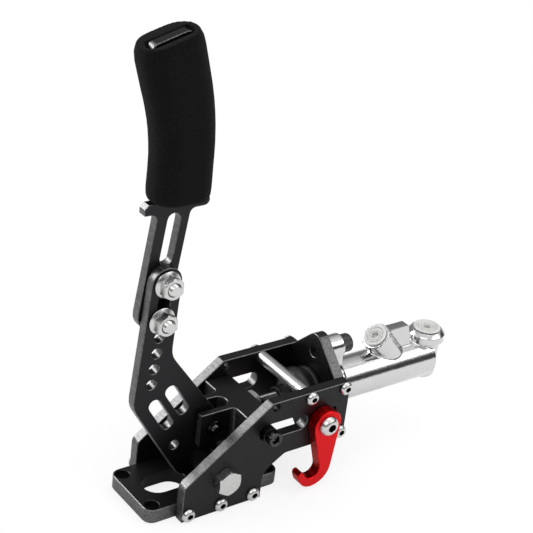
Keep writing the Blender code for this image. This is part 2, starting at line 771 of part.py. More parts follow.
def foam_grip():
    """Soft grip: sections lofted along the leaning centre line, slotted for the tang."""
    bm = bmesh.new()
    rings = [[bm.verts.new(point) for point in grip_section(*station)] for station in GRIP_STATIONS]
    bm.faces.new(rings[0])
    bm.faces.new(rings[-1])
    for low, high in zip(rings, rings[1:]):
        for k in range(GRIP_SIDES):
            bm.faces.new((low[k], low[k - 1], high[k - 1], high[k]))
    bmesh.ops.recalc_face_normals(bm, faces=bm.faces)
    mesh = bpy.data.meshes.new("foam_grip")
    bm.to_mesh(mesh)
    bm.free()
    grip = from_mesh("foam_grip", mesh, Matrix.Identity(4))
    beyond = TANG_CORNER + BORE_OVERRUN
    discs = tang_discs(TANG_WIDTH / 2 + FIT, GRIP_BOTTOM - beyond, GRIP_LENGTH + beyond)
    slit = plate("tang_slit", belt(discs), [], LEVER_THICKNESS + 2 * FIT, (0, HANDLE_Y, 0), edge=0)
    return rubber(smooth(cut(grip, slit, grip_mouth()), 50))


def grip_mouth():
    """Cutter for the wider mouth at the top of the grip, a rounded bar across the lean."""
    top, lean = grip_axis(GRIP_LENGTH)
    end = (MOUTH_LENGTH - MOUTH_WIDTH) / 2
    mouth = plate("mouth", slot((-end, 0), (end, 0), MOUTH_WIDTH / 2), [], 2 * MOUTH_DEPTH,
                  (0, 0, 0), "Z", edge=0)
    swell = GRIP_STATIONS[-1][-1] / 2
    mouth.matrix_world = (Matrix.Translation((top.x - swell, MOUTH_Y, top.y))
                          @ Matrix.Rotation(-lean, 4, "Y"))
    return mouth


def handle_joints(y, along):
    ends = {"upper": LEVER_TOP, "lower": HANDLE_FOOT}
    return {name: place_at(end.x, y, end.y, along) for name, end in ends.items()}


def handle_bolts():
    far_face = HANDLE_Y + LEVER_THICKNESS / 2 + FIT
    near_end = LEVER_THICKNESS / 2 + FIT + FLANGE_NUT_HEIGHT + BOLT_BEYOND_NUT
    pattern = hex_bolt("bolt", M8_ACROSS, M8_BOLT_HEAD, M8_RADIUS, far_face + near_end, (0, 0, 0), "Z")
    return finish_set(bright_steel, repeated("handle_bolt", pattern, handle_joints(far_face, "Y")))


def flange_nuts():
    """Hexagon on a sloping round flange, bored for the bolt."""
    hexagon_radius = M8_ACROSS / 2
    flange = [
        (0, FLANGE_HEIGHT), (hexagon_radius, FLANGE_HEIGHT),
        (FLANGE_NUT_RADIUS, FLANGE_HEIGHT - FLANGE_SLOPE), (FLANGE_NUT_RADIUS, 0), (0, 0),
    ]
    nut = turned("nut", flange, (0, 0, 0), steps=20)
    fuse(nut, hexagon("nut_hexagon", M8_ACROSS, FLANGE_NUT_HEIGHT - EDGE_BREAK, (0, 0, EDGE_BREAK)))
    cut(nut, rod("nut_bore", M8_RADIUS + FIT, (0, 0, -BORE_OVERRUN),
                 (0, 0, FLANGE_NUT_HEIGHT + BORE_OVERRUN), steps=16))
    near_face = -LEVER_THICKNESS / 2 - FIT
    return finish_set(bright_steel, repeated("flange_nut", nut, handle_joints(near_face, "-Y")))


def plain_nut(name, across, height, bore, place, along):
    nut = hexagon(name, across, height, place, along)
    start = Matrix.Translation(place) @ ALONG[along] @ Vector((0, 0, -BORE_OVERRUN))
    end = Matrix.Translation(place) @ ALONG[along] @ Vector((0, 0, height + BORE_OVERRUN))
    return cut(nut, rod(name + "_bore", bore, start, end, along, steps=16))


def pivot_bolt():
    length = 2 * (OUTER + FIT) + M10_BEYOND_FRAME
    place = (0, -OUTER - FIT, PIVOT_HEIGHT)
    bolt = hex_bolt("main_pivot_bolt", M10_ACROSS, M10_BOLT_HEAD, M10_RADIUS, length, place, "-Y")
    return bright_steel(bolt)


def pivot_nut():
    place = (0, OUTER + FIT, PIVOT_HEIGHT)
    return bright_steel(plain_nut("main_pivot_nut", M10_ACROSS, M10_NUT, M10_RADIUS + FIT, place, "Y"))


def pivot_spacers():
    inner_end = LEVER_THICKNESS / 2 + FIT
    length = INNER - FIT - inner_end
    pattern = tube("spacer", SPACER_RADIUS, M10_RADIUS + FIT, (0, 0, 0), length, steps=18)
    spots = near_and_far(0, inner_end, PIVOT_HEIGHT)
    return finish_set(black_anodised, repeated("pivot_spacer", pattern, spots))


def pivot_bush():
    start = (0, -LEVER_THICKNESS / 2, PIVOT_HEIGHT)
    bush = tube("pivot_bush", BUSH_RADIUS, M10_RADIUS + FIT, start, LEVER_THICKNESS, "Y", steps=18)
    return finish(bush, (0.6, 0.4, 0.16), 0.4, 1.0)


def yoke():
    """T-shaped crosshead: a fork round the lever's end, on a block that runs between the side plates."""
    half_block = INNER - YOKE_SIDE_PLAY
    half_fork = YOKE_WIDTH / 2
    half_slot = YOKE_SLOT_WIDTH / 2
    near_fork = [(YOKE_FRONT, -half_slot, 0), (YOKE_FRONT, -half_fork, 0),
                 (YOKE_SHOULDER - YOKE_FILLET, -half_fork - YOKE_FILLET, -YOKE_FILLET),
                 (YOKE_SHOULDER, -half_block, 0), (YOKE_REAR, -half_block, 0)]
    far_fork = [(x, -y, radius) for x, y, radius in near_fork[::-1]]
    plan = belt(near_fork + far_fork + [(YOKE_SLOT_END - half_slot, 0, -half_slot)])
    body = plate("yoke", plan, [], YOKE_HEIGHT, (0, 0, AXIS_HEIGHT), "Z")
    drills = [rod("clevis_drill", M6_RADIUS + FIT, (CLEVIS_X, -half_block, AXIS_HEIGHT),
                  (CLEVIS_X, half_block, AXIS_HEIGHT), "Y", steps=16)]
    drills.append(rod("pushrod_drill", M8_RADIUS + FIT, (YOKE_REAR - PUSHROD_IN_YOKE - FIT, 0, AXIS_HEIGHT),
                      (YOKE_REAR + BORE_OVERRUN, 0, AXIS_HEIGHT), "X", steps=16))
    depth = guide_screw_length() - SIDE_THICKNESS - BUSH_REACH
    for side, along in ((-1, "-Y"), (1, "Y")):
        y = side * (half_block - depth)
        drills.append(rod("guide_drill", M6_RADIUS + FIT, (GUIDE_X, y, AXIS_HEIGHT),
                          (GUIDE_X, side * (half_block + BORE_OVERRUN), AXIS_HEIGHT), along, steps=12))
    return black_anodised(cut(body, *drills))


def guide_screw_length():
    return SIDE_THICKNESS + BUSH_REACH + GUIDE_SCREW_DEPTH


def guide_bushes():
    start = INNER - YOKE_SIDE_PLAY + FIT
    length = OUTER + BUSH_REACH - start
    pattern = tube("bush", GUIDE_BUSH_RADIUS, M6_RADIUS + FIT, (0, 0, 0), length, steps=20)
    spots = near_and_far(GUIDE_X, start, AXIS_HEIGHT)
    return finish_set(black_steel, repeated("guide_bush", pattern, spots))


def guide_screws():
    pattern = cap_screw("screw", M6_HEAD_RADIUS, M6_HEAD_HEIGHT, M6_RADIUS, guide_screw_length(), M6_SOCKET)
    spots = near_and_far(GUIDE_X, OUTER + BUSH_REACH + FIT, AXIS_HEIGHT)
    return finish_set(black_steel, repeated("guide_screw", pattern, spots))


def clevis_bolt():
    face = YOKE_WIDTH / 2 + FIT
    bolt = hex_bolt("clevis_bolt", M6_ACROSS, CLEVIS_HEAD, M6_RADIUS, 2 * face + CLEVIS_BEYOND,
                    (CLEVIS_X, face, AXIS_HEIGHT), "Y")
    return black_steel(bolt)


def clevis_nut():
    place = (CLEVIS_X, -YOKE_WIDTH / 2 - FIT, AXIS_HEIGHT)
    return black_steel(plain_nut("clevis_nut", M6_ACROSS, M6_THIN_NUT, M6_RADIUS + FIT, place, "-Y"))


def clevis_spacers():
    """Rings that keep the lever in the middle of the fork."""
    start = LEVER_THICKNESS / 2 + FIT
    length = YOKE_SLOT_WIDTH / 2 - FIT - start
    pattern = tube("spacer", CLEVIS_SPACER_RADIUS, M6_RADIUS + FIT, (0, 0, 0), length, steps=16)
    spots = near_and_far(CLEVIS_X, start, AXIS_HEIGHT)
    return finish_set(bright_steel, repeated("clevis_spacer", pattern, spots))


def pushrod():
    """Rod from the yoke to the ball that seats in the piston."""
    start = YOKE_REAR - PUSHROD_IN_YOKE
    ball = PISTON_FRONT + BALL_INSET + BALL_RADIUS - start
    sweep = math.pi - math.asin(PUSHROD_NECK / BALL_RADIUS)
    steps = 5
    profile = []
    for k in range(steps + 1):
        angle = math.pi / 2 - k * sweep / steps
        profile.append((max(BALL_RADIUS * math.cos(angle), 0), ball + BALL_RADIUS * math.sin(angle)))
    shoulder = PISTON_FRONT - start - PUSHROD_NECK_REACH
    profile += [(PUSHROD_NECK, shoulder + PUSHROD_TAPER), (M8_RADIUS, shoulder), (M8_RADIUS, 0), (0, 0)]
    return bright_steel(smooth(turned("pushrod", profile, (start, 0, AXIS_HEIGHT), "X", steps=18)))


def pushrod_lock_nut():
    place = (YOKE_REAR + FIT, 0, AXIS_HEIGHT)
    nut = plain_nut("pushrod_lock_nut", M8_ACROSS, LOCK_NUT_HEIGHT, M8_RADIUS + FIT, place, "X")
    return bright_steel(nut)


def rubber_boot():
    """Bulb that closes the cylinder's mouth: a waist on the rod, a round belly and a collar on the nose."""
    waist = M8_RADIUS + FIT + BOOT_WALL
    collar = NOSE_RADIUS + FIT + BOOT_WALL
    first = math.acos(-math.sqrt(1 - (waist / BOOT_RADIUS) ** 2))
    last = math.asin(collar / BOOT_RADIUS)
    outer = [(waist, BOOT_FRONT)]
    for k in range(BOOT_ARC_STEPS + 1):
        angle = first + (last - first) * k / BOOT_ARC_STEPS
        outer.append((BOOT_RADIUS * math.sin(angle), BOOT_BELLY_X + BOOT_BELLY_LENGTH * math.cos(angle)))
    outer.append((collar, BRACKET_FRONT - FIT))
    profile = [(radius, x - BOOT_FRONT) for radius, x in outer]
    inner = [(radius - BOOT_WALL, height) for radius, height in profile]
    boot = turned("rubber_boot", profile[::-1] + inner, (BOOT_FRONT, 0, AXIS_HEIGHT), "X", ring=True)
    return rubber(smooth(boot, 60))


def flange_outline():
    """Round middle with an ear above and below, and hollows that just touch both."""
    to_ear = FLANGE_WAIST + FLANGE_EAR + FIT
    to_body = FLANGE_WAIST + FLANGE_BODY + FIT
    rise = (to_body ** 2 - to_ear ** 2 + CYLINDER_BOLT_RISE ** 2) / (2 * CYLINDER_BOLT_RISE)
    out = math.sqrt(to_body ** 2 - rise ** 2)
    right = [(0, -CYLINDER_BOLT_RISE, FLANGE_EAR), (out, -rise, -FLANGE_WAIST), (0, 0, FLANGE_BODY),
             (out, rise, -FLANGE_WAIST)]
    return belt(right + [(-x, -y, radius) for x, y, radius in right])


def inlet_frame(height):
    """Place on the inlet boss's axis, a height above its foot on the cylinder's axis."""
    foot = Matrix.Translation((INLET_X, 0, AXIS_HEIGHT))
    return foot @ Matrix.Rotation(-INLET_TILT, 4, "Y") @ Matrix.Translation((0, 0, height))


def port(name):
    """Middle of a port's face, its Z pointing out."""
    if name == "inlet":
        return inlet_frame(INLET_REACH)
    return Matrix.Translation((CYLINDER_END, 0, OUTLET_TOP))


def placed(obj, matrix):
    obj.matrix_world = matrix
    return obj


def barrel():
    length = CYLINDER_END - NOSE_FRONT
    nose = FLANGE_FRONT + FLANGE_THICKNESS / 2 - NOSE_FRONT
    profile = [(0, length), (CYLINDER_RADIUS, length), (CYLINDER_RADIUS, nose), (NOSE_RADIUS, nose),
               (NOSE_RADIUS, 0), (0, 0)]
    return turned("master_cylinder", profile, (NOSE_FRONT, 0, AXIS_HEIGHT), "X", steps=28)


def cylinder_flange():
    holes = [circle(0, rise, M8_RADIUS + FIT) for rise in (-CYLINDER_BOLT_RISE, CYLINDER_BOLT_RISE)]
    middle = (FLANGE_FRONT + FLANGE_REAR) / 2
    return plate("flange", flange_outline(), holes, FLANGE_THICKNESS, (middle, 0, AXIS_HEIGHT), "X")


def outlet_boss():
    disc = OUTLET_TOP - OUTLET_DISC_HEIGHT
    bottom = AXIS_HEIGHT - CYLINDER_RADIUS + EDGE_BREAK
    profile = [
        (0, OUTLET_TOP), (OUTLET_BOSS_RADIUS, OUTLET_TOP),
        (OUTLET_DISC_RADIUS, OUTLET_TOP - OUTLET_DISC_BEVEL), (OUTLET_DISC_RADIUS, disc),
        (OUTLET_BOSS_RADIUS, disc), (OUTLET_BOSS_RADIUS, bottom + OUTLET_FOOT_BEVEL),
        (OUTLET_BOSS_RADIUS - OUTLET_FOOT_BEVEL, bottom), (0, bottom),
    ]
    return turned("outlet_boss", profile, (CYLINDER_END, 0, 0), steps=24)


def inlet_boss():
    boss = rod("inlet_boss", INLET_RADIUS, (0, 0, 0), (0, 0, INLET_REACH), steps=24)
    return placed(boss, inlet_frame(0))


def web():
    outline = [(WEB_FRONT, AXIS_HEIGHT), (WEB_FOOT, AXIS_HEIGHT), (WEB_FOOT, AXIS_HEIGHT + WEB_FOOT_RISE),
               (WEB_REAR, WEB_TOP), (WEB_FRONT, WEB_TOP)]
    return plate("web", outline, [], WEB_THICKNESS, (0, 0, 0))


def port_bore(name):
    """Cutter for the bore that takes a port's plug."""
    depth = PLUG_DEPTH + FIT
    bore = rod(name + "_bore", PLUG_RADIUS + FIT, (0, 0, 0), (0, 0, depth + BORE_OVERRUN), steps=18)
    return placed(bore, port(name) @ Matrix.Translation((0, 0, -depth)))


def master_cylinder():
    """Cast cylinder: barrel, two-bolt flange, two port bosses and the block behind the inlet."""
    body = fuse(barrel(), cylinder_flange(), outlet_boss(), inlet_boss(), web())
    front = NOSE_FRONT + RING_SETBACK
    cut(body,
        rod("bore", BORE_RADIUS, (NOSE_FRONT - BORE_OVERRUN, 0, AXIS_HEIGHT),
            (BORE_END, 0, AXIS_HEIGHT), "X", steps=24),
        rod("ring_groove", BORE_RADIUS + RING_GROOVE, (front, 0, AXIS_HEIGHT),
            (front + RING_THICKNESS + 2 * FIT, 0, AXIS_HEIGHT), "X", steps=24),
        port_bore("outlet"), port_bore("inlet"))
    return polished_aluminium(body)


def port_plug(name, head):
    """Transport plug: a flanged plug with a hexagon recess."""
    profile = [
        (0, PLUG_FLANGE), (head - EDGE_BREAK, PLUG_FLANGE), (head, PLUG_FLANGE - EDGE_BREAK), (head, 0),
        (PLUG_RADIUS, 0), (PLUG_RADIUS, -PLUG_DEPTH), (0, -PLUG_DEPTH),
    ]
    matrix = port(name) @ Matrix.Translation((0, 0, FIT))
    plug = placed(turned(name + "_plug", profile, (0, 0, 0), steps=20), matrix)
    recess = hexagon(name + "_recess", PLUG_RECESS, PLUG_RECESS_DEPTH + BORE_OVERRUN, (0, 0, 0))
    placed(recess, matrix @ Matrix.Translation((0, 0, PLUG_FLANGE - PLUG_RECESS_DEPTH)))
    return white_plastic(cut(plug, recess))


def cylinder_screws():
    length = FLANGE_REAR + FIT - BRACKET_FRONT
    pattern = cap_screw("screw", M8_HEAD_RADIUS, M8_HEAD_HEIGHT, M8_RADIUS, length, M8_SOCKET)
    x = FLANGE_REAR + FIT
    rises = {"lower": -CYLINDER_BOLT_RISE, "upper": CYLINDER_BOLT_RISE}
    spots = {name: place_at(x, 0, AXIS_HEIGHT + rise, "X") for name, rise in rises.items()}
    return finish_set(black_steel, repeated("cylinder_screw", pattern, spots))


def piston():
    """Aluminium piston: a cup for the pushrod's ball in front, a seal groove and a spring nose."""
    radius = BORE_RADIUS - FIT
    rear = PISTON_LENGTH - SEAL_SETBACK
    cup = BALL_RADIUS + FIT
    floor = BALL_INSET + 2 * BALL_RADIUS + FIT
    profile = [
        (0, PISTON_LENGTH + PISTON_NOSE_LENGTH), (PISTON_NOSE_RADIUS, PISTON_LENGTH + PISTON_NOSE_LENGTH),
        (PISTON_NOSE_RADIUS, PISTON_LENGTH), (radius, PISTON_LENGTH), (radius, rear), (SEAL_INNER, rear),
        (SEAL_INNER, rear - SEAL_WIDTH), (radius, rear - SEAL_WIDTH), (radius, 0), (cup, 0),
        (cup, floor - CUP_CONE), (CUP_FLAT, floor), (0, floor),
    ]
    body = turned("piston", profile, (PISTON_FRONT, 0, AXIS_HEIGHT), "X", steps=20)
    return polished_aluminium(smooth(body))


def piston_seal():
    start = PISTON_FRONT + PISTON_LENGTH - SEAL_SETBACK - SEAL_WIDTH + FIT
    seal = tube("piston_seal", BORE_RADIUS - FIT, SEAL_INNER + FIT, (start, 0, AXIS_HEIGHT),
                SEAL_WIDTH - 2 * FIT, "X")
    return rubber(smooth(seal))


def return_spring():
    start = PISTON_FRONT + PISTON_LENGTH + FIT + SPRING_WIRE
    length = BORE_END - FIT - SPRING_WIRE - start
    per_turn = 12
    curve = bpy.data.curves.new("return_spring", "CURVE")
    curve.dimensions = "3D"
    curve.bevel_depth = SPRING_WIRE
    curve.bevel_resolution = 1
    curve.use_fill_caps = True
    spline = curve.splines.new("POLY")
    count = SPRING_TURNS * per_turn
    spline.points.add(count)
    for k, point in enumerate(spline.points):
        angle = 2 * math.pi * k / per_turn
        x = start + length * k / count
        point.co = (x, SPRING_COIL * math.cos(angle), AXIS_HEIGHT + SPRING_COIL * math.sin(angle), 1)
    drawn = bpy.data.objects.new("spring_curve", curve)
    PARTS.objects.link(drawn)
    spring = from_mesh("return_spring", welded(evaluated_mesh(drawn)), Matrix.Identity(4))
    bpy.data.objects.remove(drawn)
    return bright_steel(smooth(spring, 60))


def retaining_ring():
    start = (NOSE_FRONT + RING_SETBACK + FIT, 0, AXIS_HEIGHT)
    outer = BORE_RADIUS + RING_GROOVE - FIT
    return black_steel(smooth(tube("retaining_ring", outer, RING_INNER, start, RING_THICKNESS, "X")))


def hook_outline():
    """Pivot lobe, arm and the open hook that catches the guide screw."""
    return belt([
        (HOOK_PIVOT.x, HOOK_PIVOT.y, HOOK_LOBE),
        (HOOK_CATCH.x, HOOK_CATCH.y, -HOOK_CATCH_RADIUS),
        *[(HOOK_CATCH.x + x, HOOK_CATCH.y + y, radius) for x, y, radius in HOOK_ROUNDS],
    ])


def lock_hook():
    near_face = -OUTER - FIT
    centre = (0, near_face - HOOK_THICKNESS / 2, 0)
    hole = circle(HOOK_PIVOT.x, HOOK_PIVOT.y, M8_RADIUS + FIT)
    hook = plate("lock_hook", hook_outline(), [hole], HOOK_THICKNESS, centre)
    return finish(hook, (0.62, 0.02, 0.03), 0.3, 0.7)


def lock_hook_screw():
    face = -OUTER - HOOK_THICKNESS - 2 * FIT
    length = HOOK_THICKNESS + SIDE_THICKNESS
    crown = HOOK_HEAD_HEIGHT * HOOK_SCREW_CROWN
    profile = screw_profile(HOOK_HEAD_RADIUS, HOOK_HEAD_HEIGHT, M8_RADIUS, length, crown)
    screw = turned("lock_hook_screw", profile, (HOOK_PIVOT.x, face, HOOK_PIVOT.y), "-Y", steps=20)
    floor = face - HOOK_HEAD_HEIGHT * (1 - SOCKET_SHARE)
    socket = hexagon("hook_socket", HOOK_SCREW_SOCKET, HOOK_HEAD_HEIGHT,
                     (HOOK_PIVOT.x, floor, HOOK_PIVOT.y), "-Y")
    return bright_steel(smooth(cut(screw, socket)))


def build():
    base_plate()
    side_plate("side_plate_near", -1)
    side_plate("side_plate_far", 1)
    screws_through_sides("base_screw", [(x, BASE_THICKNESS / 2) for x in base_screw_places()])
    screws_through_sides("crossbar_screw", [(CROSSBAR_X, CROSSBAR_HEIGHT)])
    screws_through_sides("bracket_screw", bracket_screw_places())
    crossbar()
    cylinder_bracket()
    pivot_bolt()
    pivot_nut()
    pivot_spacers()
    master_cylinder()
    port_plug("inlet", INLET_PLUG_HEAD)
    port_plug("outlet", OUTLET_PLUG_HEAD)
    cylinder_screws()
    retaining_ring()
    rubber_boot()
    return_spring()
    lock_hook_screw()
    ridden(joint_axis("lever_axis", 0, PIVOT_HEIGHT),
           pivot_bush(), lever_plate(), handle_plate(), *handle_bolts(), *flange_nuts(), foam_grip())
    ridden(joint_axis("crosshead_axis", GUIDE_X, AXIS_HEIGHT),
           yoke(), *guide_bushes(), *guide_screws(), clevis_bolt(), clevis_nut(), *clevis_spacers(),
           pushrod(), pushrod_lock_nut(), piston(), piston_seal())
    ridden(joint_axis("lock_hook_axis", HOOK_PIVOT.x, HOOK_PIVOT.y), lock_hook())


build()
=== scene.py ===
"""Look of the hydraulic parking brake lever: its visible pieces, finishes, floor, lights and camera.

Metres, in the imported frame: +X from the lever to the master cylinder, -Y the side of the lock hook.
"""

import math

import bpy
from mathutils import Matrix, Vector


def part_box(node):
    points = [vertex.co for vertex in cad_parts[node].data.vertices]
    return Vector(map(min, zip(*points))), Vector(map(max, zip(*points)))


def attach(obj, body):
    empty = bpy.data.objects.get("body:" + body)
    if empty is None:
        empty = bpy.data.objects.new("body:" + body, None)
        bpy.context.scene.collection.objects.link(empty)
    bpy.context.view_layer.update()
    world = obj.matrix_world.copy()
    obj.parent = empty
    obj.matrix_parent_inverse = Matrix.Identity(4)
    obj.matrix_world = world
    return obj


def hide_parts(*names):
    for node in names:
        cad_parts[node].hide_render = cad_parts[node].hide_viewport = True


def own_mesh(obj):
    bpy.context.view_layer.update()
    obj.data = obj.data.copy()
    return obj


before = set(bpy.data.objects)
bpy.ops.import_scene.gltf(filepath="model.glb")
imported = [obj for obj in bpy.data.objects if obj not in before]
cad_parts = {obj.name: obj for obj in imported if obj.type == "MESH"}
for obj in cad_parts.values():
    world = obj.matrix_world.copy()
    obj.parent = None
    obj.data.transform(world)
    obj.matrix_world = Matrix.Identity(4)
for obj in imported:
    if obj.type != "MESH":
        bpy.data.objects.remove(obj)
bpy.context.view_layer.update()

MM = 0.001
ALONG = {
    "X": Matrix.Rotation(math.pi / 2, 4, "Y"),
    "Y": Matrix.Rotation(-math.pi / 2, 4, "X"),
    "-Y": Matrix.Rotation(math.pi / 2, 4, "X"),
    "Z": Matrix.Identity(4),
}

# Sizes shared by the fasteners
M5 = {"head": 4.75 * MM, "height": 2.75 * MM, "shank": 2.5 * MM, "socket": 3.3 * MM}
HOOK_SCREW = {"head": 7.0 * MM, "height": 4.4 * MM, "shank": 4.0 * MM, "socket": 5.0 * MM}
# What the yoke's arms hang lower than their plain solid
YOKE_DROP = 4 * MM
# Round corner of the base plate, and the reach of the hole in it with its broken edge
BASE_CORNER = 6.4 * MM
BASE_HOLE = 5.5 * MM
# Tapped hole at the side plates' top front corner, in X and Z
SPARE_HOLE = Vector((35.5, 68.2)) * MM
SPARE_HOLE_REACH = 3.4 * MM


# Modelling

def deselect():
    bpy.ops.object.select_all(action="DESELECT")


def activate(piece):
    deselect()
    piece.select_set(True)
    bpy.context.view_layer.objects.active = piece


def edit(piece):
    activate(piece)
    bpy.ops.object.mode_set(mode="EDIT")


def leave_edit():
    bpy.ops.object.mode_set(mode="OBJECT")


def new_piece(name):
    piece = bpy.context.object
    piece.name = name
    piece.data.name = name
    activate(piece)
    bpy.ops.object.transform_apply(location=True, rotation=True, scale=True)
    return piece


def applied(piece, kind, **settings):
    modifier = piece.modifiers.new(kind.lower(), kind)
    for key, value in settings.items():
        setattr(modifier, key, value)
    activate(piece)
    bpy.ops.object.modifier_apply(modifier=modifier.name)
    return piece


def combined(piece, tool, operation, solver="EXACT"):
    applied(piece, "BOOLEAN", object=tool, operation=operation, solver=solver)
    bpy.data.objects.remove(tool)
    return piece


def soften(piece, width, segments=2, angle=30):
    """Rounds every edge sharper than the angle, as a tumbled or broken edge."""
    return applied(piece, "BEVEL", width=width, segments=segments, limit_method="ANGLE",
                   angle_limit=math.radians(angle), harden_normals=False, use_clamp_overlap=True)


def shaded(piece, angle=32):
    activate(piece)
    bpy.ops.object.shade_smooth_by_angle(angle=math.radians(angle))
    return applied(piece, "WEIGHTED_NORMAL", keep_sharp=True, weight=80)


def placed(piece, matrix):
    piece.data.transform(matrix)
    return piece


def at(x, y, z, along="Z"):
    return Matrix.Translation((x, y, z)) @ ALONG[along]


def copied(piece, name, matrix):
    twin = bpy.data.objects.new(name, piece.data.copy())
    bpy.context.scene.collection.objects.link(twin)
    return placed(twin, matrix)


def turned(name, profile, steps=48):
    """Piece turned on the Z axis: one ring drawn out through the profile's (radius, height) pairs."""
    (radius, height), *rest = profile
    deselect()
    bpy.ops.mesh.primitive_circle_add(vertices=steps, radius=radius, fill_type="NGON",
                                      location=(0, 0, height))
    piece = new_piece(name)
    edit(piece)
    bpy.ops.mesh.select_all(action="SELECT")
    for next_radius, next_height in rest:
        bpy.ops.mesh.extrude_region_move(
            TRANSFORM_OT_translate={"value": (0, 0, next_height - height)})
        share = next_radius / radius
        bpy.ops.transform.resize(value=(share, share, 1), center_override=(0, 0, next_height))
        radius, height = next_radius, next_height
    bpy.ops.mesh.select_all(action="SELECT")
    bpy.ops.mesh.normals_make_consistent(inside=False)
    leave_edit()
    return piece


def pipe(name, outer, inner, start, end, steps=48):
    """Ring or sleeve: a turned bar with a turned hole through it."""
    body = turned(name, [(outer, start), (outer, end)], steps)
    hole = turned("hole", [(inner, start - MM), (inner, end + MM)], steps)
    return combined(body, hole, "DIFFERENCE")


def six_sided(name, across, low, high):
    deselect()
    bpy.ops.mesh.primitive_cylinder_add(vertices=6, radius=across / math.sqrt(3), depth=high - low,
                                        location=(0, 0, (low + high) / 2))
    return new_piece(name)


def hexagon_body(name, across, low, high, chamfer_low, chamfer_high):
    """Hexagon whose corners are turned off at 30 degrees, at either end or both."""
    corner = across / math.sqrt(3) + 0.2 * MM
    face = across / 2 * 1.01
    drop = (corner - face) * math.tan(math.radians(30))
    envelope = [(face, low), (corner, low + drop)] if chamfer_low else [(corner, low)]
    envelope += [(corner, high - drop), (face, high)] if chamfer_high else [(corner, high)]
    return combined(six_sided(name, across, low, high), turned("envelope", envelope, 72), "INTERSECT")


def thread(name, radius, pitch, low, high):
    """Threaded end of a bolt: a core with a wound ridge, cut off with a chamfered point."""
    depth = 0.6 * pitch
    core = turned(name, [(radius - depth, low), (radius - depth, high)], 40)
    deselect()
    bpy.ops.mesh.primitive_circle_add(vertices=4, radius=0.47 * pitch, fill_type="NOTHING",
                                      rotation=(math.pi / 2, 0, 0),
                                      location=(radius - 0.52 * pitch, 0, low - pitch))
    ridge = new_piece("ridge")
    applied(ridge, "SCREW", axis="Z", screw_offset=pitch, iterations=math.ceil((high - low) / pitch) + 2,
            steps=32, render_steps=32)
    edit(ridge)
    bpy.ops.mesh.select_mode(type="EDGE")
    bpy.ops.mesh.select_all(action="DESELECT")
    bpy.ops.mesh.select_non_manifold(extend=False)
    bpy.ops.mesh.edge_face_add()
    bpy.ops.mesh.select_all(action="SELECT")
    bpy.ops.mesh.normals_make_consistent(inside=False)
    leave_edit()
    combined(core, ridge, "UNION")
    point = 0.7 * pitch
    envelope = turned("envelope", [(radius, low), (radius, high - point), (radius - point, high)], 48)
    return combined(core, envelope, "INTERSECT")


def joined(name, *pieces):
    deselect()
    for piece in pieces:
        piece.select_set(True)
    bpy.context.view_layer.objects.active = pieces[0]
    bpy.ops.object.join()
    pieces[0].name = name
    return pieces[0]


# Finishes

class Signal:
    """A shader socket on which Python's operators add Math nodes."""

    def __init__(self, nodes, socket):
        self.nodes = nodes
        self.socket = socket

    def math(self, operation, *terms, clamp=False):
        return self.nodes.node("ShaderNodeMath", {"operation": operation, "use_clamp": clamp}, *terms)

    def __add__(self, other):
        return self.math("ADD", self, other)

    def __sub__(self, other):
        return self.math("SUBTRACT", self, other)

    def __mul__(self, other):
        return self.math("MULTIPLY", self, other)

    def clamped(self):
        return self.math("ADD", self, 0.0, clamp=True)

    def wave(self, pitch):
        """Sine of this length, one turn to each pitch."""
        return self.math("SINE", self * (2 * math.pi / pitch))


class Nodes:
    """A node tree in which each node is added with its settings and the values or links of its sockets."""

    def __init__(self, tree):
        self.tree = tree

    def node(self, kind, settings, *values, output=0, **named):
        node = self.tree.nodes.new(kind)
        stops = settings.pop("stops", None)
        for key, value in settings.items():
            setattr(node, key, value)
        if stops:
            ramp = node.color_ramp.elements
            while len(ramp) < len(stops):
                ramp.new(0.5)
            for element, (position, colour) in zip(ramp, stops):
                element.position = position
                element.color = (*colour, 1)
        for socket, value in [*enumerate(values), *named.items()]:
            name = socket if isinstance(socket, int) else socket.replace("_", " ")
            if isinstance(value, Signal):
                self.tree.links.new(value.socket, node.inputs[name])
            else:
                node.inputs[name].default_value = value
        return Signal(self, node.outputs[output])

    def blend(self, amount, first, second):
        """Mix of two colours."""
        mixer = self.tree.nodes.new("ShaderNodeMix")
        mixer.data_type = "RGBA"
        for socket, value in ((mixer.inputs["Factor"], amount), (mixer.inputs[6], first),
                              (mixer.inputs[7], second)):
            if isinstance(value, Signal):
                self.tree.links.new(value.socket, socket)
            else:
                socket.default_value = value if isinstance(value, float) else (*value, 1)
        return Signal(self, mixer.outputs[2])


class Finish(Nodes):
    """A material on the Principled shader, whose patterns read the piece's own coordinates."""

    def __init__(self, name, **fixed):
        self.material = bpy.data.materials.new(name)
        self.material.use_nodes = True
        super().__init__(self.material.node_tree)
        self.shader = self.tree.nodes["Principled BSDF"]
        for socket, value in fixed.items():
            self.shader.inputs[socket.replace("_", " ")].default_value = value
        self.place = self.node("ShaderNodeTexCoord", {}, output="Object")

    def noise(self, scale, detail=2.0, stretch=(1, 1, 1)):
        spread = self.node("ShaderNodeVectorMath", {"operation": "MULTIPLY"}, self.place, stretch)
        return self.node("ShaderNodeTexNoise", {}, Vector=spread, Scale=scale, Detail=detail, output="Fac")

    def cells(self, scale):
        return self.node("ShaderNodeTexVoronoi", {}, Vector=self.place, Scale=scale, output="Distance")

    def part(self, axis):
        return self.node("ShaderNodeSeparateXYZ", {}, self.place, output=axis)

    def bump(self, height, strength, distance):
        return self.node("ShaderNodeBump", {}, Strength=strength, Distance=distance, Height=height,
                         output="Normal")

    def feed(self, **sockets):
        for socket, value in sockets.items():
            self.tree.links.new(value.socket, self.shader.inputs[socket.replace("_", " ")])
        return self.material


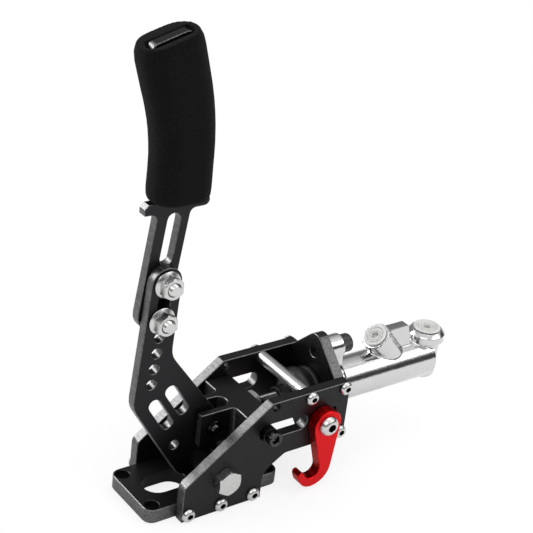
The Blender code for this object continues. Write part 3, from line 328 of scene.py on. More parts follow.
def anodised(name, dark, light, roughness, metallic=0.9):
    """Satin anodised aluminium: blasted grain, with slow changes in tone and gloss."""
    finish = Finish(name, Metallic=metallic)
    cloud = finish.noise(24, 3.0)
    grain = finish.noise(3200, 1.0)
    return finish.feed(
        Base_Color=finish.blend(cloud, dark, light),
        Roughness=(cloud * 0.10 + grain * 0.08 + (roughness - 0.09)).clamped(),
        Normal=finish.bump(grain, 0.22, 0.05 * MM),
    )


def milled(name, dark, light, roughness, metallic=0.95):
    """The cut walls and broken edges of an anodised plate: cutter marks run across the plate."""
    finish = Finish(name, Metallic=metallic)
    marks = finish.noise(900, 2.0, (1, 0.10, 1))
    pits = finish.noise(1500, 3.0)
    return finish.feed(
        Base_Color=finish.blend((marks * 1.3 + pits * 2.0 - 1.15).clamped(), dark, light),
        Roughness=(marks * 0.14 + pits * 0.10 + (roughness - 0.12)).clamped(),
        Normal=finish.bump(marks * 0.6 + pits * 0.6, 0.6, 0.08 * MM),
    )


def plated_steel(name, dark, light, roughness):
    """Zinc plate or black oxide on a fastener, or the painted shade inside its socket."""
    finish = Finish(name, Metallic=1.0)
    cloud = finish.noise(380, 2.0)
    grain = finish.noise(2400, 2.0)
    return finish.feed(
        Base_Color=finish.blend((cloud * 0.4 + grain * 0.6).clamped(), dark, light),
        Roughness=(cloud * 0.06 + grain * 0.08 + (roughness - 0.07)).clamped(),
        Normal=finish.bump(grain, 0.05, 0.02 * MM),
    )


def polished_casting():
    """Buffed cast aluminium: bright, with faint waves and buffing haze."""
    finish = Finish("polished_casting", Metallic=1.0)
    waves = finish.noise(95, 2.0)
    haze = finish.noise(620, 4.0)
    return finish.feed(
        Base_Color=finish.blend(haze, (0.50, 0.50, 0.51), (0.64, 0.64, 0.64)),
        Roughness=(haze * 0.14 + waves * 0.06 + 0.04).clamped(),
        Normal=finish.bump(waves * 0.8 + haze * 0.4, 0.45, 0.25 * MM),
    )


def turned_metal(name, dark, light, roughness, pitch=0.5 * MM):
    """Bright turned bar, with tool rings round an axis that runs along Y."""
    finish = Finish(name, Metallic=1.0)
    rings = finish.part("Y").wave(pitch)
    cloud = finish.noise(300, 3.0)
    return finish.feed(
        Base_Color=finish.blend(cloud, dark, light),
        Roughness=(cloud * 0.04 + (roughness - 0.02)).clamped(),
        Normal=finish.bump(rings, 0.03, 0.01 * MM),
    )


def grip_foam():
    """Closed-cell foam sleeve: matt black with fine open pores."""
    finish = Finish("grip_foam", Metallic=0.0, Specular_IOR_Level=0.08, Sheen_Weight=0.02)
    cloud = finish.noise(60, 4.0)
    fuzz = finish.noise(1100, 3.0)
    specks = (finish.noise(1500, 1.0) * 7.0 - 4.2).clamped()
    pores = finish.cells(1500)
    return finish.feed(
        Base_Color=finish.blend((fuzz * 0.4 + specks * 0.5).clamped(), (0.0003, 0.0003, 0.0003),
                                (0.014, 0.014, 0.014)),
        Roughness=(cloud * 0.1 + 0.9).clamped(),
        Normal=finish.bump(pores * 0.5 + fuzz * 0.8 + cloud * 0.8, 0.9, 0.45 * MM),
    )


def moulded_rubber():
    finish = Finish("moulded_rubber", Metallic=0.0, Specular_IOR_Level=0.4)
    cloud = finish.noise(90, 3.0)
    grain = finish.noise(2200, 2.0)
    return finish.feed(
        Base_Color=finish.blend(cloud, (0.004, 0.004, 0.004), (0.010, 0.010, 0.010)),
        Roughness=(cloud * 0.12 + 0.36).clamped(),
        Normal=finish.bump(grain, 0.2, 0.06 * MM),
    )


def plug_plastic():
    """Milky polyethylene of the transport plugs."""
    finish = Finish("plug_plastic", Metallic=0.0, Subsurface_Weight=0.5, Subsurface_Scale=0.003,
                    Subsurface_Radius=(1.0, 1.0, 1.0))
    cloud = finish.noise(200, 3.0)
    return finish.feed(
        Base_Color=finish.blend(cloud, (0.50, 0.50, 0.49), (0.62, 0.62, 0.61)),
        Roughness=(cloud * 0.15 + 0.30).clamped(),
        Normal=finish.bump(cloud, 0.15, 0.1 * MM),
    )


BLACK = anodised("black_anodised", (0.016, 0.016, 0.017), (0.024, 0.024, 0.026), 0.40)
# The black milled walls are far lighter than the anodised face: their cutter marks are their own, their
# light tone is painted highlight for the light these walls catch.
BLACK_EDGE_PAINTED_HIGHLIGHT = milled("black_milled_edge_painted_highlight", (0.050, 0.050, 0.051), (0.175, 0.175, 0.178), 0.40)
RED = anodised("red_anodised", (0.54, 0.003, 0.005), (0.66, 0.006, 0.010), 0.32, 0.93)
RED_EDGE = milled("red_milled_edge", (0.42, 0.001, 0.002), (0.72, 0.005, 0.008), 0.30, 0.95)
ZINC = plated_steel("bright_zinc", (0.42, 0.42, 0.42), (0.68, 0.68, 0.67), 0.26)
OXIDE = plated_steel("black_oxide", (0.030, 0.030, 0.031), (0.085, 0.085, 0.088), 0.24)
# Near-black plated finish, used only as painted shade inside the screws' hexagon sockets.
SOCKET_SHADE = plated_steel("painted_socket_shade", (0.010, 0.010, 0.010), (0.030, 0.030, 0.030), 0.40)
CAST = polished_casting()
BAR = turned_metal("bright_bar", (0.42, 0.42, 0.42), (0.52, 0.52, 0.52), 0.34)
BRONZE = turned_metal("bronze", (0.50, 0.30, 0.12), (0.62, 0.40, 0.18), 0.35)
FOAM = grip_foam()
RUBBER = moulded_rubber()
PLUG = plug_plastic()


# Pieces

def finished(piece, body, slot, *materials, stands_for=()):
    piece.data.materials.clear()
    for material in materials:
        piece.data.materials.append(material)
    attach(piece, body)
    if stands_for:
        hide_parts(*stands_for)
    return piece


def machined_plate(node, thickness_axis, body, slot, face_finish, edge_finish,
                   plain_or_shaded_walls=lambda face: False):
    """The node's own solid with smooth walls. Its broken edges and its walls have the milled finish, apart
    from the walls facing up and those the given test picks, which keep the face finish; on the walls facing
    up and in the plates' holes that dark finish is painted shade."""
    piece = bpy.data.objects.new(node + "_machined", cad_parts[node].data.copy())
    bpy.context.scene.collection.objects.link(piece)
    edit(piece)
    bpy.ops.mesh.customdata_custom_splitnormals_clear()
    bpy.ops.mesh.select_all(action="SELECT")
    bpy.ops.mesh.remove_doubles(threshold=0.01 * MM)
    leave_edit()
    finished(piece, body, slot, face_finish, edge_finish, stands_for=[node])
    axis = Vector(thickness_axis)
    for face in piece.data.polygons:
        # Walls facing up, and the hole walls the given test picks, keep the dark face finish as painted
        # shade.
        plain = abs(face.normal.dot(axis)) > 0.97 or face.normal.z > 0.95 or plain_or_shaded_walls(face)
        face.material_index = 0 if plain else 1
    return shaded(piece)


# Walls of the base plate's holes, which keep the dark face finish as painted shade.
def in_base_hole(face):
    """The corner holes share their centres with the base plate's round corners."""
    low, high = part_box("base_plate")
    inward = (high - low) / 2 - Vector(map(abs, face.center - (low + high) / 2))
    corner = Vector((BASE_CORNER, BASE_CORNER))
    return min(inward.xy) > BASE_CORNER or (inward.xy - corner).length < BASE_HOLE


# Walls of the side plates' tapped hole, which keep the dark face finish as painted shade.
def in_spare_hole(face):
    return (face.center.xz - SPARE_HOLE).length < SPARE_HOLE_REACH


def plates():
    black = ("black_anodised", BLACK, BLACK_EDGE_PAINTED_HIGHLIGHT)
    machined_plate("base_plate", (0, 0, 1), "frame", *black, plain_or_shaded_walls=in_base_hole)
    machined_plate("side_plate_near", (0, 1, 0), "frame", *black, plain_or_shaded_walls=in_spare_hole)
    machined_plate("side_plate_far", (0, 1, 0), "frame", *black, plain_or_shaded_walls=in_spare_hole)
    machined_plate("cylinder_bracket", (1, 0, 0), "frame", *black)
    machined_plate("lever_plate", (0, 1, 0), "lever", *black)
    machined_plate("handle_plate", (0, 1, 0), "lever", *black)
    yoke = machined_plate("yoke", (0, 0, 1), "crosshead", *black,
                          plain_or_shaded_walls=lambda face: abs(face.normal.y) > 0.97)
    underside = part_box("yoke")[0].z + 2 * MM
    for point in yoke.data.vertices:
        if point.co.z < underside:
            point.co.z -= YOKE_DROP
    machined_plate("lock_hook", (0, 1, 0), "lock_hook", "red_anodised", RED, RED_EDGE)


def button_head(name, size, length):
    """Button head screw on Z, its head's underside at 0: domed head, hexagon socket and shank."""
    radius, height = size["head"], size["height"]
    dome = [(radius * 0.985, 0.10 * height), (radius, 0.18 * height)]
    for share in (0.35, 0.52, 0.68, 0.82, 0.93, 1.0):
        dome.append((radius * (0.44 + 0.56 * math.sin(math.acos(share))), height * share))
    body = turned(name, [(size["shank"], -length), (size["shank"], 0), (radius * 0.96, 0), *dome])
    across = size["socket"]
    socket = six_sided("socket", across, height * 0.12, height + MM)
    point = turned("point", [(across * 0.2, height * 0.02), (across * 0.5, height * 0.13)], 24)
    combined(body, socket, "DIFFERENCE")
    combined(body, point, "DIFFERENCE")
    return soften(body, 0.12 * MM)


def paint_socket_shade(piece, centre, axis, reach):
    """Paints shade into a socket: its walls that face its axis, and its bottom, get a near-black finish as
    painted shade.
    """
    piece.data.materials.append(SOCKET_SHADE)
    direction = ALONG[axis] @ Vector((0, 0, 1))
    for face in piece.data.polygons:
        out = face.center - centre
        out -= direction * out.dot(direction)
        inward = out.length > 1e-6 and face.normal.dot(out.normalized()) < -0.3
        if out.length < reach and (inward or out.length < reach * 0.7):
            face.material_index = 1


def button_screws():
    """The twelve M5 screws through the side plates, and the hook's own screw."""
    low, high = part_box("base_screw_near_1")
    pattern = button_head("button_screw", M5, (high - low).y - M5["height"])
    for node in sorted(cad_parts):
        if "_screw_near_" not in node and "_screw_far_" not in node:
            continue
        low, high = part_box(node)
        centre = (low + high) / 2
        near = "_near_" in node
        seat = low.y + M5["height"] if near else high.y - M5["height"]
        along = "-Y" if near else "Y"
        screw = copied(pattern, node + "_button", at(centre.x, seat, centre.z, along))
        finished(screw, "frame", "bright_steel", ZINC, stands_for=[node])
        paint_socket_shade(screw, centre, along, M5["socket"] * 0.6)
        shaded(screw)
    bpy.data.objects.remove(pattern)
    low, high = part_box("lock_hook_screw")
    centre = (low + high) / 2
    screw = button_head("lock_hook_screw_button", HOOK_SCREW, (high - low).y - HOOK_SCREW["height"])
    placed(screw, at(centre.x, low.y + HOOK_SCREW["height"], centre.z, "-Y"))
    finished(screw, "frame", "bright_steel", ZINC, stands_for=["lock_hook_screw"])
    paint_socket_shade(screw, centre, "-Y", HOOK_SCREW["socket"] * 0.6)
    shaded(screw)


def knurled_cap(name, radius, height, shank, length, across):
    """Socket head cap screw on Z, its head's underside at 0, with a straight knurl."""
    flutes = 36
    rim = [(radius * 0.97, 0), (radius, 0.04 * height), (radius, 0.86 * height), (radius * 0.93, height)]
    body = turned(name, [(shank, -length), (shank, 0), *rim], 2 * flutes)
    for point in body.data.vertices:
        turn = round(math.atan2(point.co.y, point.co.x) / (math.pi / flutes))
        if turn % 2 and math.hypot(point.co.x, point.co.y) > radius * 0.99:
            point.co.x *= 0.955
            point.co.y *= 0.955
    soften(body, 0.18 * MM, angle=50)
    combined(body, six_sided("socket", across, height * 0.45, height + MM), "DIFFERENCE")
    bore = turned("point", [(across * 0.2, height * 0.2), (across * 0.53, height * 0.46)], 24)
    combined(body, bore, "DIFFERENCE")
    dish = turned("dish", [(across * 0.50, height * 0.9), (across * 0.66, height * 1.02)], 36)
    return combined(body, dish, "DIFFERENCE")


def cap_screws():
    for side, along in (("near", "-Y"), ("far", "Y")):
        node = "guide_screw_" + side
        low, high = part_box(node)
        centre = (low + high) / 2
        head = 5.7 * MM
        seat = low.y + head if side == "near" else high.y - head
        screw = knurled_cap(node + "_cap", 5.15 * MM, head, 3 * MM, (high - low).y - head, 5 * MM)
        placed(screw, at(centre.x, seat, centre.z, along))
        shaded(finished(screw, "crosshead", "black_steel", OXIDE, stands_for=[node]))
    for level in ("upper", "lower"):
        node = "cylinder_screw_" + level
        low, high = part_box(node)
        centre = (low + high) / 2
        head = 8 * MM
        screw = knurled_cap(node + "_cap", 6.5 * MM, head, 4 * MM, (high - low).x - head, 6 * MM)
        placed(screw, at(high.x - head, centre.y, centre.z, "X"))
        shaded(finished(screw, "frame", "black_steel", OXIDE, stands_for=[node]))


def hexagon_bolt(name, across, head, edge, radius, pitch, reach, threaded, steps):
    """Bolt on Z, its head's underside at 0: chamfered hexagon, plain shank and wound thread."""
    bolt = hexagon_body(name, across, 0, head, False, True)
    soften(bolt, edge)
    shank = turned("shank", [(radius, -reach + threaded), (radius, 0.2 * MM)], steps)
    screw = thread("threaded_end", radius, pitch, -threaded - 0.2 * MM, 0)
    placed(screw, Matrix.Rotation(math.pi, 4, "X") @ Matrix.Translation((0, 0, reach)))
    return joined(name, bolt, shank, screw)


def handle_bolts_and_nuts():
    """Two M8 bolts from the far side, each with a flange nut on the near side of the lever."""
    head = 5.3 * MM
    for level in ("upper", "lower"):
        bolt_low, bolt_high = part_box("handle_bolt_" + level)
        nut_low, nut_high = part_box("flange_nut_" + level)
        centre = (nut_low + nut_high) / 2
        seat = nut_high.y
        height = (nut_high - nut_low).y
        flange = (nut_high - nut_low).x / 2
        skirt = turned("skirt", [(flange * 0.97, 0), (flange, 0.25 * MM), (flange, 0.75 * MM),
                                 (flange * 0.97, 1.0 * MM), (6.4 * MM, 2.2 * MM), (5 * MM, 2.2 * MM)], 64)
        nut = hexagon_body("flange_nut_%s_zinc" % level, 13 * MM, 0.6 * MM, height, False, True)
        combined(nut, skirt, "UNION")
        bore = turned("bore", [(4.9 * MM, -MM), (4.35 * MM, 0.4 * MM), (4.35 * MM, height - 0.5 * MM),
                               (5.0 * MM, height + 0.2 * MM)], 48)
        combined(nut, bore, "DIFFERENCE")
        soften(nut, 0.18 * MM)
        placed(nut, at(centre.x, seat, centre.z, "-Y"))
        shaded(finished(nut, "lever", "bright_steel", ZINC, stands_for=["flange_nut_" + level]))

        seat = bolt_high.y - head
        bolt = hexagon_bolt("handle_bolt_%s_zinc" % level, 13 * MM, head, 0.18 * MM, 4 * MM, 1.25 * MM,
                            seat - bolt_low.y, 14 * MM, 40)
        placed(bolt, at(centre.x, seat, centre.z, "Y"))
        shaded(finished(bolt, "lever", "bright_steel", ZINC, stands_for=["handle_bolt_" + level]))


def pivot_fasteners():
    """M10 bolt through the whole frame, its nut, and the M6 clevis bolt and nut."""
    low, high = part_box("main_pivot_bolt")
    centre = (low + high) / 2
    head = 6.4 * MM
    bolt = hexagon_bolt("main_pivot_bolt_zinc", 16 * MM, head, 0.2 * MM, 5 * MM, 1.5 * MM,
                        (high - low).y - head, 16 * MM, 48)
    placed(bolt, at(centre.x, low.y + head, centre.z, "-Y"))
    shaded(finished(bolt, "frame", "bright_steel", ZINC, stands_for=["main_pivot_bolt"]))

    zinc = ("bright_steel", ZINC)
    rows = (("main_pivot_nut", 16 * MM, 5.2 * MM, "frame", "Y", *zinc),
            ("clevis_nut", 10 * MM, 3.2 * MM, "crosshead", "-Y", "black_steel", OXIDE),
            ("pushrod_lock_nut", 16 * MM, 4.2 * MM, "crosshead", "X", *zinc))
    for node, across, bore, body, along, slot, material in rows:
        low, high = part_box(node)
        centre = (low + high) / 2
        height = (high - low).x if along == "X" else (high - low).y
        nut = hexagon_body(node + "_plated", across, -height / 2, height / 2, True, True)
        hole = turned("bore", [(bore * 1.16, -height / 2 - 0.1 * MM), (bore, -height / 2 + 0.5 * MM),
                               (bore, height / 2 - 0.5 * MM), (bore * 1.16, height / 2 + 0.1 * MM)], 40)
        combined(nut, hole, "DIFFERENCE")
        soften(nut, 0.15 * MM)
        placed(nut, at(*centre, along))
        shaded(finished(nut, body, slot, material, stands_for=[node]))

    low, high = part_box("clevis_bolt")
    centre = (low + high) / 2
    head = 4 * MM
    bolt = hexagon_bolt("clevis_bolt_black", 10 * MM, head, 0.15 * MM, 3 * MM, 1.0 * MM,
                        (high - low).y - head, 9 * MM, 36)
    placed(bolt, at(centre.x, high.y - head, centre.z, "Y"))
    shaded(finished(bolt, "crosshead", "black_steel", OXIDE, stands_for=["clevis_bolt"]))


def sleeves():
    """Crossbar, spacers, bushes: plain turned tubes, each with chamfered ends."""
    rows = (
        ("crossbar", 2.8 * MM, "frame", "bright_steel", BAR),
        ("pivot_spacer_near", 5.3 * MM, "frame", "black_anodised", BLACK),
        ("pivot_spacer_far", 5.3 * MM, "frame", "black_anodised", BLACK),
        ("clevis_spacer_near", 3.3 * MM, "crosshead", "bright_steel", BAR),
        ("clevis_spacer_far", 3.3 * MM, "crosshead", "bright_steel", BAR),
        ("pivot_bush", 5.3 * MM, "lever", "bronze", BRONZE),
        ("guide_bush_near", 3.3 * MM, "crosshead", "black_steel", OXIDE),
        ("guide_bush_far", 3.3 * MM, "crosshead", "black_steel", OXIDE),
    )
    for node, bore, body, slot, finish in rows:
        low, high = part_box(node)
        half = (high - low).y / 2
        sleeve = pipe(node + "_turned", (high - low).x / 2, bore, -half, half)
        soften(sleeve, 0.35 * MM)
        placed(sleeve, at(*((low + high) / 2), "Y"))
        shaded(finished(sleeve, body, slot, finish, stands_for=[node]))


plates()
button_screws()
cap_screws()
handle_bolts_and_nuts()
pivot_fasteners()
sleeves()


# Grip

GRIP = {"x": -28.5 * MM, "y": 6.8 * MM, "foot": 211.7 * MM, "bend_start": 26.3 * MM,
        "bend_radius": 168 * MM, "lean": math.radians(16), "length": 103.5 * MM}
# Distance up the grip, share of the full section, and what the lever side swells by
GRIP_STATIONS = (
    (0, 0.93, 0), (2.5, 0.985, 0), (7, 1, 0), (18, 0.99, 0), (28, 0.985, 0.2), (36, 0.985, 0.6),
    (45, 0.985, 1.0), (53, 0.985, 1.4), (60, 0.985, 1.8), (68, 0.985, 2.15), (76, 0.985, 2.5),
    (85, 0.985, 2.65), (94, 0.985, 2.8), (99, 0.965, 2.6), (103.5, 0.89, 2.0),
)


def grip_line(distance):
    """Point on the grip's centre line a distance up from its foot, and the lean there."""
    bend = min(max(distance - GRIP["bend_start"], 0), GRIP["bend_radius"] * GRIP["lean"])
    straight = max(distance - GRIP["bend_start"] - bend, 0)
    lean = bend / GRIP["bend_radius"]
    x = GRIP["x"] - GRIP["bend_radius"] * (1 - math.cos(lean)) - straight * math.sin(lean)
    z = GRIP["foot"] + min(distance, GRIP["bend_start"])
    z += GRIP["bend_radius"] * math.sin(lean) + straight * math.cos(lean)
    return Vector((x, GRIP["y"], z)), lean


def drawn_up_grip(name, depth, width, corner, stations):
    """Rounded rectangle drawn out along the grip's centre line."""
    start, lean = grip_line(stations[0][0] * MM)
    deselect()
    bpy.ops.mesh.primitive_plane_add(size=1, location=start)
    piece = new_piece(name)
    edit(piece)
    bpy.ops.mesh.select_all(action="SELECT")
    share = stations[0][1]
    bpy.ops.transform.resize(value=(depth * share, width * share, 1), center_override=start)
    bpy.ops.mesh.bevel(offset=corner, affect="VERTICES", segments=8)
    swell = 0
    for distance, next_share, next_swell in stations[1:]:
        centre, next_lean = grip_line(distance * MM)
        before = start + swell * MM / 2 * Vector((-math.cos(lean), 0, -math.sin(lean)))
        after = centre + next_swell * MM / 2 * Vector((-math.cos(next_lean), 0, -math.sin(next_lean)))
        bpy.ops.mesh.extrude_region_move(TRANSFORM_OT_translate={"value": after - before})
        turn_about_y(-lean, after)
        growth = (depth * next_share + next_swell * MM) / (depth * share + swell * MM)
        bpy.ops.transform.resize(value=(growth, next_share / share, 1), center_override=after)
        turn_about_y(next_lean, after)
        start, lean, share, swell = centre, next_lean, next_share, next_swell
    bpy.ops.mesh.select_all(action="SELECT")
    bpy.ops.mesh.normals_make_consistent(inside=False)
    leave_edit()
    return piece


def turn_about_y(lean, centre):
    """Leans the selection towards -X."""
    if abs(lean) > 1e-6:
        bpy.ops.transform.rotate(value=lean, orient_axis="Y", center_override=centre)


def foam_grip():
    grip = drawn_up_grip("foam_grip_sleeve", 40 * MM, 28.5 * MM, 12.2 * MM, GRIP_STATIONS)
    slit = drawn_up_grip("slit", 28.8 * MM, 7.3 * MM, 0.5 * MM,
                         [(distance, 1, 0) for distance in (-4, 27, 35, 44, 53, 62, 71, 80, 108)])
    combined(grip, slit, "DIFFERENCE")
    end, lean = grip_line(GRIP["length"])
    deselect()
    bpy.ops.mesh.primitive_plane_add(size=1, location=(0, 0, -8 * MM))
    mouth = new_piece("mouth")
    edit(mouth)
    bpy.ops.mesh.select_all(action="SELECT")
    bpy.ops.transform.resize(value=(31 * MM, 10.6 * MM, 1), center_override=(0, 0, -8 * MM))
    bpy.ops.mesh.bevel(offset=4.9 * MM, affect="VERTICES", segments=8)
    bpy.ops.mesh.extrude_region_move(TRANSFORM_OT_translate={"value": (0, 0, 12 * MM)})
    bpy.ops.mesh.select_all(action="SELECT")
    bpy.ops.mesh.normals_make_consistent(inside=False)
    leave_edit()
    placed(mouth, Matrix.Translation((end.x - 1.0 * MM, 5.0 * MM, end.z)) @ Matrix.Rotation(-lean, 4, "Y"))
    combined(grip, mouth, "DIFFERENCE")
    applied(grip, "REMESH", mode="VOXEL", voxel_size=0.75 * MM)
    applied(grip, "SMOOTH", factor=0.5, iterations=5)
    finished(grip, "lever", "black_foam", FOAM, stands_for=["foam_grip"])
    activate(grip)
    bpy.ops.object.shade_smooth()


# Cylinder, boot and pushrod

# Height of the cylinder's axis, the barrel's radius, and the flange's bolts under and over the axis
AXIS = 51 * MM
BARREL = 15 * MM
FLANGE_BOLTS = (-28.5 * MM, 28.5 * MM)
# Middle of the outlet's rim, and the inlet boss's foot, tilt and height
OUTLET = Vector((189.5, 0, 73)) * MM
INLET_FOOT = Vector((163.6, 0, 51)) * MM
INLET_TILT = math.radians(39.4)
INLET_HEIGHT = 35 * MM
# Gap under a transport plug's flange
FIT = 0.3 * MM


def inlet_place(height):
    """Place on the inlet boss's axis, a height above its foot on the cylinder's axis."""
    return (Matrix.Translation(INLET_FOOT) @ Matrix.Rotation(-INLET_TILT, 4, "Y")
            @ Matrix.Translation((0, 0, height)))


def block(name, low, high):
    deselect()
    low, high = Vector(low), Vector(high)
    bpy.ops.mesh.primitive_cube_add(size=1, location=(low + high) / 2)
    piece = bpy.context.object
    piece.scale = high - low
    return new_piece(name)


def flange_blank():
    """Two-bolt flange: round middle, two ears and the hollows beside them."""
    front, rear = 95.8 * MM, 108.5 * MM
    flange = turned("flange", [(16.3 * MM, front), (16.5 * MM, front + 0.3 * MM),
                               (16.5 * MM, rear - 0.6 * MM), (15.9 * MM, rear)], 96)
    placed(flange, at(0, 0, AXIS, "X"))
    neck = block("neck", (front, -11.2 * MM, AXIS - 25.5 * MM), (rear, 11.2 * MM, AXIS + 25.5 * MM))
    combined(flange, neck, "UNION")
    for y in (-19.48, 19.48):
        for rise in (-21.2, 21.2):
            hollow = placed(turned("hollow", [(12 * MM, front - MM), (12 * MM, rear + MM)], 96),
                            at(0, y * MM, AXIS + rise * MM, "X"))
            combined(flange, hollow, "DIFFERENCE")
    for rise in FLANGE_BOLTS:
        ear = turned("ear", [(8.5 * MM, front), (8.5 * MM, rear)], 64)
        combined(flange, placed(ear, at(0, 0, AXIS + rise, "X")), "UNION")
    return flange


def web_block():
    """Machined block behind the inlet boss: flat top, back edge sloping down into the barrel."""
    back = 173.8 * MM
    web = block("web", (148 * MM, -3.75 * MM, AXIS), (back, 3.75 * MM, 82 * MM))
    edit(web)
    bpy.ops.mesh.select_all(action="SELECT")
    slope = Vector((18.0, 0, 5.8)).normalized()
    bpy.ops.mesh.bisect(plane_co=(back, 0, 64 * MM), plane_no=slope, clear_outer=True, use_fill=True)
    leave_edit()
    return soften(web, 0.5 * MM)


def cast_forms(grow=0.0):
    """Barrel and both port bosses, turned; grow makes them that much larger all round."""
    barrel = turned("barrel", [(BARREL + grow, 96.5 * MM), (BARREL + grow, 189.5 * MM)], 128)
    placed(barrel, at(0, 0, AXIS, "X"))
    foot = AXIS - BARREL
    profile = (
        (7.6 * MM, foot + 0.4 * MM), (9.6 * MM, foot + 1.5 * MM), (10.5 * MM, foot + 3.6 * MM),
        (10.5 * MM, 64.6 * MM), (11.2 * MM, 65.2 * MM), (13.0 * MM, 65.3 * MM), (13.4 * MM, 65.8 * MM),
        (13.4 * MM, 70.2 * MM), (13.1 * MM, 70.8 * MM), (11.4 * MM, 72.5 * MM), (10.7 * MM, 73 * MM),
    )
    boss = turned("outlet_boss", [(radius + grow, height) for radius, height in profile], 96)
    placed(boss, Matrix.Translation((OUTLET.x, 0, 0)))
    inlet = turned("inlet_boss", [(10.25 * MM + grow, 0), (10.25 * MM + grow, 34.5 * MM),
                                  (9.75 * MM + grow, INLET_HEIGHT)], 96)
    placed(inlet, inlet_place(0))
    combined(barrel, boss, "UNION")
    return combined(barrel, inlet, "UNION")


def master_cylinder():
    """Casting with filleted roots, over which the turned and milled faces stand crisp."""
    body = cast_forms()
    combined(body, flange_blank(), "UNION")
    combined(body, web_block(), "UNION")
    applied(body, "REMESH", mode="VOXEL", voxel_size=0.6 * MM)
    applied(body, "SMOOTH", factor=0.5, iterations=9)
    combined(body, cast_forms(0.02 * MM), "UNION", "MANIFOLD")
    combined(body, web_block(), "UNION", "MANIFOLD")
    nose = placed(turned("nose", [(12.6 * MM, 83.2 * MM), (13 * MM, 83.6 * MM), (13 * MM, 97 * MM)], 96),
                  at(0, 0, AXIS, "X"))
    combined(body, nose, "UNION", "MANIFOLD")
    port = ((6.8 * MM, -6.3 * MM), (6.8 * MM, -0.5 * MM), (7.6 * MM, 0.5 * MM))
    cuts = [
        placed(turned("bore", [(9.5 * MM, 82 * MM), (9.5 * MM, 172 * MM)], 64), at(0, 0, AXIS, "X")),
        placed(turned("groove", [(10.7 * MM, 84.7 * MM), (10.7 * MM, 86.5 * MM)], 64), at(0, 0, AXIS, "X")),
        placed(turned("port", port), Matrix.Translation(OUTLET)),
        placed(turned("port", port), inlet_place(INLET_HEIGHT)),
    ]
    for rise in FLANGE_BOLTS:
        cuts.append(placed(turned("bolt_hole", [(4.3 * MM, 94 * MM), (4.3 * MM, 110 * MM)]),
                           at(0, 0, AXIS + rise, "X")))
    for tool in cuts:
        combined(body, tool, "DIFFERENCE", "MANIFOLD")
    finished(body, "frame", "polished_aluminium", CAST, stands_for=["master_cylinder"])
    shaded(body, 28)


def port_plugs():
    """Moulded transport plugs: a thin flange with a raised ring and a hexagon recess."""
    for node, head, matrix in (("outlet_plug", 9.7 * MM, Matrix.Translation(OUTLET + Vector((0, 0, FIT)))),
                               ("inlet_plug", 8.3 * MM, inlet_place(INLET_HEIGHT + FIT))):
        plug = turned(node + "_moulded", [
            (6.2 * MM, -6 * MM), (6.5 * MM, -5.7 * MM), (6.5 * MM, 0), (head - 0.3 * MM, 0),
            (head, 0.25 * MM), (head, 0.85 * MM), (head - 0.35 * MM, 1.2 * MM)], 72)
        dish = turned("dish", [(head * 0.70, 0.5 * MM), (head * 0.84, 1.5 * MM)], 72)
        combined(plug, dish, "DIFFERENCE")
        for outer, inner in ((head * 0.62, head * 0.53), (3.9 * MM, 3.3 * MM)):
            combined(plug, pipe("rib", outer, inner, 0.3 * MM, 1.1 * MM), "UNION")
        combined(plug, six_sided("recess", 5 * MM, -1.8 * MM, 2 * MM), "DIFFERENCE")
        soften(plug, 0.12 * MM)
        placed(plug, matrix)
        shaded(finished(plug, "frame", "white_plastic", PLUG, stands_for=[node]))


def rubber_boot():
    """Moulded bulb between the pushrod and the cylinder's nose, with a bead at each end."""
    outer = [(6.1, 59.5), (6.9, 59.9), (6.9, 61.3), (6.2, 61.8), (6.4, 63.2)]
    for k in range(21):
        angle = math.radians(154 - k * (154 - 64) / 20)
        outer.append((17 * math.sin(angle), 76.3 + 11 * math.cos(angle)))
    outer += [(15.1, 82.4), (15.0, 84.0), (15.5, 84.6), (15.5, 86.4), (15.1, 87.2)]
    outer = sorted(outer, key=lambda point: point[1])
    boot = turned("rubber_boot_moulded", [(radius * MM, x * MM) for radius, x in outer], 96)
    inner = [(4.3, 58.5), (4.3, 62.6)]
    for k in range(11):
        angle = math.radians(150 - k * (150 - 68) / 10)
        inner.append((15.2 * math.sin(angle), 76.3 + 9.6 * math.cos(angle)))
    inner += [(13.3, 83.0), (13.3, 88.2)]
    inner = sorted(inner, key=lambda point: point[1])
    combined(boot, turned("hollow", [(radius * MM, x * MM) for radius, x in inner], 96), "DIFFERENCE")
    placed(boot, at(0, 0, AXIS, "X"))
    soften(boot, 0.2 * MM, angle=40)
    shaded(finished(boot, "frame", "black_rubber", RUBBER, stands_for=["rubber_boot"]), 50)
    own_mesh(boot)


def return_spring():
    """Wound spring between the piston and the cylinder's end."""
    start, end, turns = 116.2 * MM, 170.8 * MM, 9
    deselect()
    bpy.ops.mesh.primitive_circle_add(vertices=10, radius=0.9 * MM, fill_type="NGON",
                                      rotation=(math.pi / 2, 0, 0), location=(6.6 * MM, 0, start))
    spring = new_piece("return_spring_wound")
    applied(spring, "SCREW", axis="Z", screw_offset=(end - start) / turns, iterations=turns, steps=28,
            render_steps=28)
    edit(spring)
    bpy.ops.mesh.select_all(action="SELECT")
    bpy.ops.mesh.normals_make_consistent(inside=False)
    leave_edit()
    placed(spring, at(0, 0, AXIS, "X"))
    shaded(finished(spring, "frame", "bright_steel", ZINC, stands_for=["return_spring"]), 50)
    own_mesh(spring)


